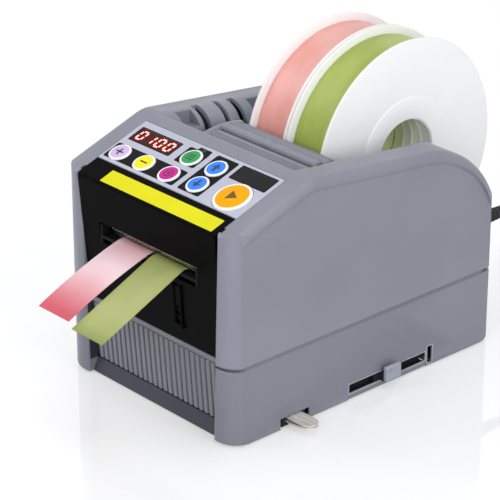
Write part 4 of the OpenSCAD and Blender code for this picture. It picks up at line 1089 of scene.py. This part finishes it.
def make_latch():
    """Finger latch of the cover: two ribs between two steps, and a pad at its foot."""
    x0, x1, w, sunk, proud = 19, 26, 1.5, -1, 1.2

    def up(z):
        return (z - COVER_LOW) / math.cos(COVER_TURN)

    parts = [soft_block((x, up(58), sunk), (x + w, up(80.5), proud), 0.35) for x in (x0, x1 - w)]
    parts += [soft_block((x0, up(z), sunk), (x1, up(z) + 1.2, proud), 0.35) for z in (62, 66)]
    parts.append(soft_block((x0 - 0.4, up(55.2), sunk), (x1 + 0.4, up(58.2), proud + 0.5), 0.5))
    parts.append(soft_block((x0 + 1.4, up(67.2), sunk), (x1 - 1.4, up(80), 0.5), 0.3))
    add("cover_latch", placed(merged(*parts), COVER_FACE), cover_black, slot="black_plastic")


def make_outlet_marks():
    """A feed arrow on the outlet's left wall and a brass screw head above the outlet."""
    middle, foot, top, neck = back(6.3), 84.6, 90, 87
    half, barb = 0.5, 1.3
    arrow = [(-half, top), (-half, neck), (-barb, neck), (0, foot)]
    arrow += [(barb, neck), (half, neck), (half, top)]
    wall = -OUTLET_HW
    mesh = side_prism([(middle + y, z) for y, z in arrow], wall - 0.2, wall + 0.12)
    add("feed_arrow", mesh, mark_grey, slot="membrane_film")
    head = [(AXIS, 0), (1.3, 0), (1.3, 0.5), (0.9, 0.8), (AXIS, 0.85)]
    place = at(5.5, back(4.7), OUTLET_TOP + 0.1, Matrix.Rotation(math.pi, 4, "X"))
    add("outlet_screw", lathe(head, 24, place), bronze, slot="bronze")


def make_ribbed_panel():
    """Leaning panel with upright ribs, and pieces of painted shade in the gap below it and on the
    pillars' inner walls.
    """
    fall = (PANEL_RUN_IN - COVER_LEAN) / (PANEL_TOP_Z - PANEL_LOW_Z)

    def face(z):
        return back(COVER_LEAN) + fall * (PANEL_TOP_Z - z)

    top, low, depth, r = PANEL_TOP_Z, PANEL_LOW_Z, 1.2, 0.45
    plate = [(face(top) + 0.2, top), (face(top) + 3, top), (face(low) + 3, low)]
    plate += [(face(low) + depth, low), (face(RIB_TOP) + depth, RIB_TOP), (face(RIB_TOP), RIB_TOP)]
    plate.append((face(top), top - 0.3))
    panel = combine(side_prism(plate, -WIDE, WIDE), [front_strip(low - 1, top + 1)], "INTERSECT")
    add("ribbed_plate", panel, rib_grey, replaces=["ribbed_panel"], slot="housing_plastic")
    ribs = []
    half, pitch = RIB_W / 2, RIB_SPAN / RIB_COUNT
    for i in range(RIB_COUNT):
        x = (i + 0.5) * pitch - RIB_SPAN / 2
        curve = arc((x + half - r, r - RIB_PROUD), r, 0, -90, 3)
        curve += arc((x - half + r, r - RIB_PROUD), r, -90, -180, 3)
        outline = [(x + half + 0.08, 2)] + curve + [(x - half - 0.08, 2)]
        levels = [(low, 0), (RIB_TOP - 0.6, 0), (RIB_TOP - 0.15, 0.5)]
        ribs.append(skin([[(a, face(z) + max(b, b + k), z) for a, b in outline] for z, k in levels]))
    add("front_ribs", merged(*ribs), rib_grey, smooth=50, slot="housing_plastic")
    # Black block as painted shade in the gap above the sill, and thin dark sheets as painted shade on
    # the inner walls of the pillars
    y, half = face(low), OPEN_LOW - 0.2
    gap = block(-half, y + 0.5, SILL_H, half, y + 2.8, low + 0.2)
    add("sill_gap_shade", gap, inner_black, slot="black_plastic")
    walls = []
    for side in (-1, 1):
        rings = []
        for z in (SILL_H, top):
            x = open_half(z)
            inner, outer = side * (x - 0.12), side * (x + 0.1)
            y0, y1 = back(2.6), face(z) + 1
            rings.append([(inner, y0, z), (outer, y0, z), (outer, y1, z), (inner, y1, z)])
        walls.append(skin(rings))
    add("pillar_shade_sheets", merged(*walls), pillar_painted_shade, slot="housing_plastic")


make_front_cover()
make_latch()
make_outlet_marks()
make_ribbed_panel()


# Control panel: film, prints, keys, windows
STRIPS = [(-54.5, 17.7, 2.5, 30.3), (6.2, 18, 23, 49)]
MODE_FIELD, LAMP_FIELD = (-13.8, 33.8, 2, 47), (-8, 46, 1.6, 49.2)
PRINT_T, FACE_Z = 0.05, 0.72


def make_membrane():
    """Panel film with its black printed fields, open where keys and windows come through."""
    sheet = combine(panel_plate(MEMBRANE, 0.7, -0.78, 0.01), panel_openings(KEY_GAP))
    add("panel_film", sheet, panel_film, replaces=["membrane_panel"], slot="membrane_film")

    def field(box, r=0.8):
        return panel_plate(box, r, -0.5, PRINT_T)

    fields = [field(box, 1.2) for box in STRIPS]
    fields.append(combine(field(MODE_FIELD, 1.2), [field(LAMP_FIELD)], "UNION"))
    fields += [field(grown(box, 0.9)) for box in (DISPLAY, WINDOW)]
    prints = [combine(mesh, panel_openings(KEY_GAP)) for mesh in fields]
    add("black_print", merged(*prints), ink_black, slot="membrane_film")


def bar(x0, y0, x1, y1, w):
    """Outline of a straight stroke of this width."""
    length = math.hypot(x1 - x0, y1 - y0)
    a, b = -(y1 - y0) / length * w / 2, (x1 - x0) / length * w / 2
    return [(x0 + a, y0 + b), (x0 - a, y0 - b), (x1 - a, y1 - b), (x1 + a, y1 + b)]


def arrow_mark(s):
    """Outline of an arrow that points up the panel if s is 1, down if it is -1."""
    half, barb, tip, foot, neck = 0.8, 2.5, 3.1, -3, -0.1
    right = [(barb, neck), (half, neck), (half, foot)]
    outline = [(0, s * tip)] + [(x, s * y) for x, y in right]
    outline += [(-x, s * y) for x, y in reversed(right)]
    return outline if s < 0 else outline[::-1]


def key_marks(name):
    """Outlines of the plain symbol on a key, round the key's middle."""
    half, stroke = 2.6, 1.0
    if name == "plus":
        return [bar(-half, 0, half, 0, stroke), bar(0, -half, 0, half, stroke)]
    if name == "minus":
        return [bar(-half, 0, half, 0, stroke)]
    if name in ("up", "down"):
        return [arrow_mark(1 if name == "up" else -1)]
    if name == "start":
        return [[(-2.4, -3.6), (3.8, 0), (-2.4, 3.6)]]
    if name == "mode":
        return [bar(-2.4, y, 2.4, y, 0.7) for y in (-1.7, 0, 1.7)]
    return [circle_2d(0, 0, 0.9, 24)]


def make_key(name):
    """White cap with a stem, a domed face in the key's tone, and a raised symbol."""
    x, y = KEYS[name]
    r, body, slot, tone = key_radius(name), f"{name}_key", KEY_SLOTS[name], KEY_TONES[name]
    wide = name == "start"
    place = PANEL @ at(x, y, 0)
    cap = [(AXIS, -1.6), (r, -1.6), (r, 0.3), (r - 0.15, 0.55), (r - 0.5, 0.68), (AXIS, 0.7)]
    stem = [(AXIS, -5.6), (2, -5.6), (2, -1.4), (AXIS, -1.4)]
    white = merged(lathe(cap, 72, place), lathe(stem, 24, place))
    add(f"{name}_cap", white, rim_white, body, smooth=40, replaces=[f"{name}_button"], slot=slot)
    face_r, edge_z, dome = (r - 1.1, 0.62, 0.35) if wide else (r - 1, 0.66, 0.15)
    steps = 6
    disc = [(AXIS, 0.3), (face_r, 0.3), (face_r, edge_z)]
    for i in range(1, steps + 1):
        t = i / steps
        disc.append((max(face_r * (1 - t), AXIS), FACE_Z + dome * (1 - (1 - t) ** 2)))
    ink = film(f"{name}_ink", tone, 0.4, 1.04, gloss=0.1)
    add(f"{name}_face", lathe(disc, 72, place), ink, body, smooth=50, slot=slot)
    top = FACE_Z + dome + 0.05
    marks = [prism(outline, 0.5, top, place) for outline in key_marks(name)]
    if name == "select":
        marks.append(placed(ring_of(2.1, 2.8, 0.5, top - 0.04), place))
    dark = (16, 16, 18) if name in ("plus", "minus") else scaled(tone, 0.42)
    add(f"{name}_mark", merged(*marks), film(f"{name}_mark_ink", dark, 0.35), body, slot=slot)


DIGIT_W, DIGIT_H, DIGIT_PITCH, DIGIT_SLANT = 4, 6.6, 7.5, 0.14
# Ends of the lit strokes of a digit, in widths and heights
SEGMENTS = {
    "top": (0, 1, 1, 1),
    "upper_right": (1, 1, 1, 0.5),
    "lower_right": (1, 0.5, 1, 0),
    "bottom": (0, 0, 1, 0),
    "lower_left": (0, 0, 0, 0.5),
    "upper_left": (0, 0.5, 0, 1),
}
ONE = ("upper_right", "lower_right")


def make_display():
    """Both windows, the lit digits behind the red one, and the lamp."""
    add("display_pane", panel_plate(DISPLAY, 0.25, -2, -0.06), display_red,
        replaces=["display_window"], slot="red_lens")
    glow, core = [], []
    for i, digit in enumerate("0100"):
        left, low = DISPLAY[0] + 2.2 + i * DIGIT_PITCH, DISPLAY[1] + 1.8
        for name in ONE if digit == "1" else SEGMENTS:
            ends = [Vector(SEGMENTS[name][:2]), Vector(SEGMENTS[name][2:])]
            for p in ends:
                p.y *= DIGIT_H
                p.x = left + p.x * DIGIT_W + DIGIT_SLANT * p.y
                p.y += low
            along = (ends[1] - ends[0]).normalized()
            for strokes, gap, width, top in ((glow, 0.35, 1.5, -0.02), (core, 0.55, 0.85, 0)):
                line = bar(*(ends[0] + along * gap), *(ends[1] - along * gap), width)
                strokes.append(prism(line, -0.3, top, PANEL))
    add("digits_glow", merged(*glow), digit_glow, slot="red_lens")
    add("digits_core", merged(*core), digit_core, slot="red_lens")
    add("smoke_pane", panel_plate(WINDOW, 0.25, -2, -0.04), smoke_black,
        replaces=["side_window"], slot="smoke_lens")
    dome = [(AXIS, -3), (LAMP_R, -3), (LAMP_R, 0.2), (LAMP_R - 0.36, 0.3), (AXIS, 0.34)]
    lamp = lathe(dome, 32, PANEL @ at(*LAMP, 0))
    add("status_lamp", lamp, lamp_dark, slot="smoke_lens")


make_membrane()
for key in KEYS:
    make_key(key)
make_display()

# Roller cover: one moulded lid with its grips, cheeks and pin
LID_R, LID_MID, LID_HW, LID_END = 62, 84.5, 34.8, 42.4
LID_TOP, LID_FRONT, LID_REAR = top_z(back(LID_MID)) - 5.3, 69.5, 98.1
LID_RIBS = (71, 72.7, 74.4, 76.1, 90.2, 92, 93.8)
LID_GROOVES = [(79, 81.7, 2.6), (87.2, 88.5, 2.2), (95.3, 96.5, 2.2)]
LID_T, RIB_HALF, RIB_HIGH = 3.2, 0.6, 0.85
BAR_R, BAR_SUNK = 2.6, 0.6
HINGE, PINCH, PIN_R = (back(66), FOLD_Z + 2), (FEED_Y, FEED_Z + FEED_R + 8), 1.5
# Edge of a cheek round the hinge and round the pinch roller's pin, measured from each
HINGE_EAR = [(0.5, 3.6), (-3.6, 1), (-3.6, -2), (0, -3.6)]
PINCH_EAR = [(-6, -4), (0, -5), (5, -2)]


def lid_line(run, proud=0):
    """Height of the lid's curve, or of one that lies this far outside it."""
    return LID_TOP - LID_R + math.sqrt((LID_R + proud) ** 2 - (run - LID_MID) ** 2)


def lid_relief(run):
    """Height of the ribs, the grooves and the finger bar above the lid's curve."""
    for start, end, depth in LID_GROOVES:
        if start < run < end:
            return -depth
    height = max(RIB_HIGH * (1 - ((run - c) / RIB_HALF) ** 2) for c in LID_RIBS)
    if abs(run - LID_MID) < BAR_R:
        height = math.sqrt(BAR_R**2 - (run - LID_MID) ** 2) - BAR_SUNK
    return max(0, height)


def lid_profile():
    """Outline of the lid from the side: its relief on top, a plain curve below."""
    step, beside = 0.14, 0.001
    runs = [LID_FRONT + i * step for i in range(int((LID_REAR - LID_FRONT) / step) + 1)]
    for edge in (edge for groove in LID_GROOVES for edge in groove[:2]):
        runs += [edge - beside, edge + beside]
    top = [(back(run), lid_line(run) + lid_relief(run)) for run in sorted(runs)]
    low = [(back(run), lid_line(run, -LID_T)) for run in (98, 93, 84.5, 76, 69.6)]
    return top + low


def lid_rail(side):
    """Smooth rail along one side of the lid, with rounded upper edges."""
    rings = []
    for inside, drop in ((3.2, 0.6), (3, 0.2), (2.6, 0), (0.6, 0), (0.2, 0.2), (0, 0.6)):
        top = [(back(r), lid_line(r, 1.0 - drop)) for r in range(70, 99, 2)]
        low = [(back(r), lid_line(r, -LID_T)) for r in range(98, 69, -7)]
        rings.append([(side * (LID_HW - inside), y, z) for y, z in top + low])
    return skin(rings)


def make_roller_cover():
    """Lid with a finger bar, a rail on its left, and two cheeks down to the roller."""
    profile = lid_profile()
    # The right end runs on to the shoulder and dips a little there
    ends = [(-LID_HW + 3.1, 0), (LID_END - 2, 0), (LID_END - 0.7, 0.4), (LID_END, 1.2)]
    plate = skin([[(x, y, z - drop) for y, z in profile] for x, drop in ends])
    sleeve = [(AXIS, 1.2), (2.8, 1.2), (3.1, 1.6), (3.1, 6.4), (2.8, 6.8), (AXIS, 6.8)]
    collar = lathe(sleeve, 32, at(0, back(LID_MID), LID_TOP - BAR_SUNK, ALONG_X))
    top_end, rear_end = [(back(70.5), 126.6)], [(back(92), 126)]
    by_hinge = [(HINGE[0] + y, HINGE[1] + z) for y, z in HINGE_EAR]
    by_roller = [(PINCH[0] + y, PINCH[1] + z) for y, z in PINCH_EAR]
    outline = top_end + by_hinge + by_roller + rear_end
    cheeks = []
    for side in (-1, 1):
        form = side_prism(outline, *on_side(side, LID_HW - 2, LID_HW))
        bore = rod(PIN_R + 0.06, -WIDE, WIDE, at(0, *PINCH, ALONG_X))
        cheeks.append(combine(form, [bore]))
    lid = merged(plate, collar, lid_rail(-1), *cheeks)
    add("lid_body", lid, housing_skin, "cover", smooth=28, replaces=["roller_cover"],
        slot="housing_plastic")
    pin = rod(PIN_R, -40, 40, at(0, *HINGE, ALONG_X))
    add("lid_pin", pin, steel, "cover", slot="bright_steel")


make_roller_cover()

# Reels and ribbon
REEL_TURN = {1: ALONG_X, -1: AGAINST_X}
RIBBON_SLOT = {1: "green_satin", -1: "pink_satin"}
REEL_IN, REEL_OUT, FLANGE_T, ROLL_IN = 0.4, 29.2, 1.6, 2.3
LINERS = [(0.4, 7.4), (7.4, 20.6), (20.6, 29)]
LIP_PLACES = (7.4, 13.6, 20.6, 28.6)


def flange(low, high):
    """Reel flange with a rounded rim."""
    edge = 0.4
    outer = arc((FLANGE_R - edge, low + edge), edge, -90, 0, 4)
    outer += arc((FLANGE_R - edge, high - edge), edge, 0, 90, 4)
    return lathe([(HUB_R + 0.2, low)] + outer + [(HUB_R + 0.2, high)], 144)


def make_reel(name, side, ribbon):
    """A reel with its ribbon, made about Z from the machine's middle outwards."""
    place = at(0, back(REEL_RUN), REEL_Z, REEL_TURN[side])

    def put(piece, mesh, material, slot="reel_plastic", **more):
        add(f"{name}_{piece}", placed(mesh, place), material, f"{name}_spool", slot=slot, **more)

    flanges = [(REEL_IN, REEL_IN + FLANGE_T), (REEL_OUT - FLANGE_T, REEL_OUT)]
    bore, out = HUB_R + 0.2, REEL_OUT
    core = ring_of(HUB_R + 0.3, CORE_R, 1, out - 0.7, 96)
    # Faint raised step round the hub
    hub = [(bore, out - 0.1), (33.4, out - 0.1), (33.2, out + 0.25), (32.6, out + 0.45)]
    hub += [(24, out + 0.45), (22.6, out + 0.2), (bore, out + 0.1)]
    reel = merged(*[flange(*ends) for ends in flanges], core, lathe(hub, 96))
    put("reel_body", reel, reel_white, smooth=30, replaces=[f"{name}_reel"])
    # Liners in tones of painted light, which lift the shade inside the bore
    for i, (low, high) in enumerate(LINERS):
        put(f"liner_{i + 1}", ring_of(HUB_R, HUB_R + 0.5, low, high, 96), bore_painted_light[i])
    lips = [ring_of(HUB_R - 0.5, HUB_R + 0.3, x - 0.4, x + 0.4, 96) for x in LIP_PLACES]
    put("bore_lips", merged(*lips), reel_white)
    rim, inset = (FLANGE_R - 0.1, FLANGE_R + 0.05), 0.35
    rims = [ring_of(*rim, low + inset, high - inset, 144) for low, high in flanges]
    put("rims", merged(*rims), rim_cream)
    put("wound_roll", roll_form(), ribbon, RIBBON_SLOT[side], smooth=60,
        replaces=[f"{name}_roll"])


def roll_form():
    """Wound ribbon: fine turns show on both of its side faces."""
    turn_t, lift = 0.8, 0.12
    near, far = [], []
    for i in range(int((ROLL_R - CORE_R) / turn_t)):
        r = CORE_R + 0.05 + i * turn_t
        near += [(r, ROLL_IN + lift), (r + turn_t / 2, ROLL_IN)]
        far += [(r, ROLL_IN + RIBBON_W - lift), (r + turn_t / 2, ROLL_IN + RIBBON_W)]
    near.append((ROLL_R - 0.1, ROLL_IN + lift))
    far.append((ROLL_R - 0.1, ROLL_IN + RIBBON_W - lift))
    outside = [(ROLL_R, ROLL_IN + 2 + i * (RIBBON_W - 4) / 4) for i in range(5)]
    return lathe(near + outside + far[::-1], 144)


make_reel("left", -1, pink_roll)
make_reel("right", 1, green_roll)

TAIL_IN, TAIL_Y, TAIL_L, TAIL_STEPS = 1.2, back(7.2), 58, 28
# Radii of the ribbon's middle on the feed roller and on the roll, and the angle at
# which its straight run leaves the first for the second
BEND_R, WRAP_R = FEED_R + 0.5, ROLL_R + RIBBON_T + 0.1
RUN_Y, RUN_Z = back(REEL_RUN) - FEED_Y, REEL_Z - FEED_Z
RUN_RISE = math.atan2(RUN_Z, RUN_Y)
RUN_CROSS = math.asin((BEND_R + WRAP_R) / math.hypot(RUN_Y, RUN_Z))
LEAD_END = math.degrees(math.pi / 2 + RUN_RISE - RUN_CROSS)


def band_path(points, step=4.0):
    """The path with points added, so that none lie further apart than a step."""
    out = [Vector(points[0])]
    for a, b in zip(points, points[1:]):
        a, b = Vector(a), Vector(b)
        parts = max(1, math.ceil((b - a).length / step))
        out += [a + (b - a) * (i + 1) / parts for i in range(parts)]
    return out


def ribbon_band(path, side, inner_edge, crown):
    """A closed strip along a path of (y, z); crown lifts its middle."""
    columns = 14
    shares = [-0.5 + i / columns for i in range(columns + 1)]
    middle = inner_edge + RIBBON_W / 2
    rings = []
    for i, p in enumerate(path):
        ahead = path[min(i + 1, len(path) - 1)] - path[max(i - 1, 0)]
        up = Vector((-ahead.y, ahead.x)).normalized()
        if up.y < 0:
            up = -up
        ring = []
        for lift, order in ((RIBBON_T / 2, shares), (-RIBBON_T / 2, shares[::-1])):
            for s in order:
                rise = crown(i / (len(path) - 1)) * (1 - 4 * s * s) + lift
                place = p + up * rise
                ring.append((side * (middle + s * RIBBON_W), place.x, place.y))
        rings.append(ring)
    return skin(rings)


def tail_path(side):
    """Path of a cut end: it leaves the outlet level, then falls."""
    path = []
    for i in range(TAIL_STEPS + 1):
        d = TAIL_L * i / TAIL_STEPS
        past = max(d - 3, 0)
        drop = 0.27 * past + 0.002 * d * d if side < 0 else 0.455 * past
        path.append(Vector((TAIL_Y - d, RIBBON_Z - drop)))
    return path


def tail_crown(t):
    """Rise of a cut end's middle over its edges, at a share of its length."""
    return 0.9 * math.sin(math.pi * min(1, 1.4 * t))


def make_ribbons():
    """For each side the strip from roll to cutter, and the cut end in the outlet."""
    turn = arc((FEED_Y, FEED_Z), BEND_R, 99, LEAD_END, 10)
    tip = math.radians(LEAD_END)
    end = (back(REEL_RUN) - WRAP_R * math.cos(tip), REEL_Z - WRAP_R * math.sin(tip))
    lead_path = band_path([(back(9), RIBBON_Z)] + turn + [end])
    for name, side, tail_skin, roll_skin in (
        ("left", -1, pink_tail, pink_roll),
        ("right", 1, green_tail, green_roll),
    ):
        for part, path, inner, crown, finish, held, rest in (
            ("lead", lead_path, ROLL_IN, lambda t: 0, roll_skin, "stretched", "feed_roller"),
            ("tail", tail_path(side), TAIL_IN, tail_crown, tail_skin, "hung", "outlet_guide"),
        ):
            band = ribbon_band(path, side, inner, crown)
            piece = add(f"{name}_{part}_band", band, finish, replaces=[f"{name}_{part}"],
                        slot=RIBBON_SLOT[side])


make_ribbons()


# Cutter springs, side catch and tweezers
def make_springs():
    """Both return springs of the blade, as coils at rest."""
    low, high, r, wire, turns, steps = 46.5, 57.5, 3.2, 0.9, 6, 20
    out, y = 32.2, back(14.7)
    springs = []
    for side in (-1, 1):
        path = []
        for i in range(turns * steps + 1):
            t = i / (turns * steps)
            a = 2 * math.pi * turns * t
            z = low + wire / 2 + (high - low - wire) * t
            path.append((side * out + r * math.cos(a), y + r * math.sin(a), z))
        springs.append(tube(path, wire / 2, 10))
    piece = add("spring_coils", merged(*springs), steel, smooth=60, replaces=["return_springs"],
                slot="bright_steel")
    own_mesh(piece)


def make_catch():
    """Sliding tab with a fine groove, and its dark guide inside the slot."""
    y0, y1, low = back(114.5) - 5.75, back(114.5) + 5.75, 4.8
    side = HALF_W + 0.3
    tab = soft_block((side, y0, low), (side + 2.7, y1, low + 9), 0.7)
    groove = block(side + 2.4, y0 - 1, low + 6.4, side + 5, y0 + 3.6, low + 7.5)
    add("catch_tab", combine(tab, [groove]), catch_grey, "catch", replaces=["side_catch"],
        slot="dark_plastic")
    neck = block(side - 4.3, y0, low, side + 0.3, y1, low + 4.7)
    guide = block(side - 6.8, y0 - 3, low - 1, side - 4, y1 + 3, low + 5.7)
    add("catch_guide", merged(neck, guide), slot_dark, "catch", slot="dark_plastic")


def make_slot_frames():
    """Thin raised rims round the catch's slot and the slit behind it, in a lighter grey that paints a
    highlight on their edges.
    """
    # x and y of the rim's plane become y and z, its height x
    turn = Matrix(((0, 0, 1, 0), (1, 0, 0, 0), (0, 1, 0, 0), (0, 0, 0, 1)))
    place = at(HALF_W - RECESS - 0.1, 0, 0, turn)
    rims = []
    for y0, y1, z0, z1 in (CATCH_SLOT, CATCH_SLIT):
        box = (y0, z0, y1, z1)
        outer = rounded_box_2d(*grown(box, 0.55), 0.3)
        inner = rounded_box_2d(*grown(box, 0.02), 0.2)
        ring = combine(prism(outer, -1, 0.12), [prism(inner, -2, 2)])
        rims.append(placed(ring, place))
    add("slot_rims", merged(*rims), rim_painted_highlight, slot="housing_plastic")


def make_tweezers():
    """Sprung tweezers: two arms joined at the root, the lower one bent near the tip."""
    tip, width, thick = 84, 10, 0.8
    root, low, high, meet = tip - 41, 2.9, 6.4, 5
    bend_r = (high - low) / 2
    outer = arc((root + bend_r, low + bend_r), bend_r, 90, 270, 10)
    inner = arc((root + bend_r, low + bend_r), bend_r - thick, 270, 90, 10)
    side = [(tip - 13, high)] + outer + [(tip, low), (tip, low + thick)]
    side += inner + [(tip - 13.2, high - thick), (tip - 4.2, meet - thick)]
    side += [(tip, meet - thick), (tip, meet), (tip - 4, meet)]
    # The other way up, so that the lower arm is the bent one
    side = [(x, low + high - z) for x, z in reversed(side)]
    r = width / 2
    lying = prism(side, -r, r, at(0, TWEEZER_Y, 0, FORWARD))
    plan = [(root - 1, TWEEZER_Y + r), (root - 1, TWEEZER_Y - r)]
    plan += arc((tip - r, TWEEZER_Y), r, -90, 90, 24)
    made = combine(lying, [prism(plan, 0, 20)], "INTERSECT")
    add("tweezer_arms", made, ivory_steel, "tweezer_pair", smooth=40, replaces=["tweezers"],
        slot="bright_steel")


def make_blade_teeth():
    """Ground teeth along the front of the moving blade, each with two bright bevels."""
    pitch, half, low, high, y = 2.0, 37, 90.3, 93.4, back(7.5)
    tip, edge, ridge, root = y - 0.08, y - 0.02, y - 0.14, y + 0.2
    teeth = []
    for i in range(int(2 * half / pitch)):
        x0 = i * pitch - half
        x, x1 = x0 + pitch / 2, x0 + pitch
        points = [(x, tip, low), (x0, edge, high), (x1, edge, high), (x, ridge, high), (x, root, high)]
        teeth.append(mesh_of(points, [(0, 1, 3), (0, 3, 2), (0, 4, 1), (0, 2, 4), (1, 4, 2, 3)]))
    add("blade_bevels", merged(*teeth), blade_steel, "blade", smooth=5, slot="bright_steel")


make_springs()
make_blade_teeth()
make_slot_frames()
make_catch()
make_tweezers()

# CAD nodes that keep their shape, by finish
FINISHES = [
    (dark_trim, "base_plate front_sill blade_carrier front_cradle_roller rear_cradle_roller"),
    (steel, "base_screws feed_shaft guide_rods fixed_blade"),
    (zinc, "left_frame right_frame feed_motor cutter_base cutter_motor"),
    (inner_black, "outlet_guide tape_sensor power_switch_frame"),
    (roller_rubber, "feed_roller pinch_roller"),
    (gear_white, "feed_gear cutter_cam"),
    (bronze, "roller_bushes motor_pinion"),
    (board_green, "control_board power_board"),
    (black_rubber, "rubber_feet"),
    (pale_case, "display_module"),
    (blade_steel, "moving_blade"),
    (slot_dark, "side_rail"),
    (switch_red, "power_rocker"),
]


def dress_nodes():
    """Every node gets a finish, also those that are hidden under a replacing piece."""
    chosen = {name: finish for finish, names in FINISHES for name in names.split()}
    for name, node in NODES.items():
        mesh = node.data
        mesh.materials.clear()
        mesh.materials.append(chosen.get(name, panel_film))


dress_nodes()


# Room
def seen_share(nodes, links):
    """1 where the camera sees a surface, directly, mirrored or through glass, else 0."""
    path = nodes.new("ShaderNodeLightPath")
    level = path.outputs["Is Camera Ray"]
    for other in ("Is Glossy Ray", "Is Transmission Ray"):
        larger = nodes.new("ShaderNodeMath")
        larger.operation = "MAXIMUM"
        links.new(level, larger.inputs[0])
        links.new(path.outputs[other], larger.inputs[1])
        level = larger.outputs[0]
    return level


def make_floor():
    """A wide sheet of pale paper, lifted a little where it is seen."""
    reach = 6000
    corners = [(-reach, -reach, 0), (reach, -reach, 0), (reach, reach, 0), (-reach, reach, 0)]
    mesh = mesh_of(corners, [range(4)])
    mesh.transform(Matrix.Scale(MM, 4))
    floor = linked("floor", mesh)
    paper = Shader("paper", PAPER, 0.04, Specular_IOR_Level=0.8, Emission_Color=(1, 1, 1, 1))
    grain = paper.spread(paper.noise(30, 3), 0.0, 1.0)
    paper.give("Base Color", paper.mix(PAPER, PAPER_LIGHT, grain))
    seen = seen_share(paper.nodes, paper.links)
    lift = paper.node("ShaderNodeMath", {0: seen, 1: FLOOR_LIFT}, operation="MULTIPLY")
    paper.give("Emission Strength", lift.outputs[0])
    mesh.materials.append(paper.material)


def make_world():
    """A pale surround: full strength where it is seen, weaker as a light."""
    world = bpy.data.worlds.new("studio")
    bpy.context.scene.world = world
    world.use_nodes = True
    nodes, links = world.node_tree.nodes, world.node_tree.links
    ground = nodes["Background"]
    ground.inputs["Color"].default_value = colour(*SURROUND)
    strength = nodes.new("ShaderNodeMapRange")
    links.new(seen_share(nodes, links), strength.inputs["Value"])
    strength.inputs["To Min"].default_value = WORLD_LEVEL
    strength.inputs["To Max"].default_value = 1.0
    links.new(strength.outputs[0], ground.inputs["Strength"])


def make_lamp(name, place, aim, size, power):
    """A soft rectangular light; places and size in metres, power in watts."""
    data = bpy.data.lights.new(name, "AREA")
    data.shape = "RECTANGLE"
    data.size, data.size_y = size
    data.energy = power
    lamp = linked(name, data)
    lamp.location = place
    lamp.rotation_euler = (Vector(aim) - Vector(place)).to_track_quat("-Z", "Y").to_euler()


PAPER, PAPER_LIGHT, SURROUND = (206, 206, 208), (209, 209, 210), (252, 253, 255)
FLOOR_LIFT, WORLD_LEVEL = 0.42, 0.5
MIDDLE = (0, 0, 0.07)
make_floor()
make_world()
make_lamp("key", (-0.9, -0.9, 1.3), MIDDLE, (0.8, 0.8), 6)
make_lamp("top", (0.1, 0.1, 1.6), MIDDLE, (1.0, 1.0), 4.2)
make_lamp("side", (1.4, -0.1, 0.7), MIDDLE, (0.6, 1.0), 7.6)
make_lamp("front", (0.75, -1.5, 0.5), (0.02, -0.06, 0.07), (0.25, 0.9), 7.5)
view = bpy.context.scene.view_settings
view.view_transform = "Standard"
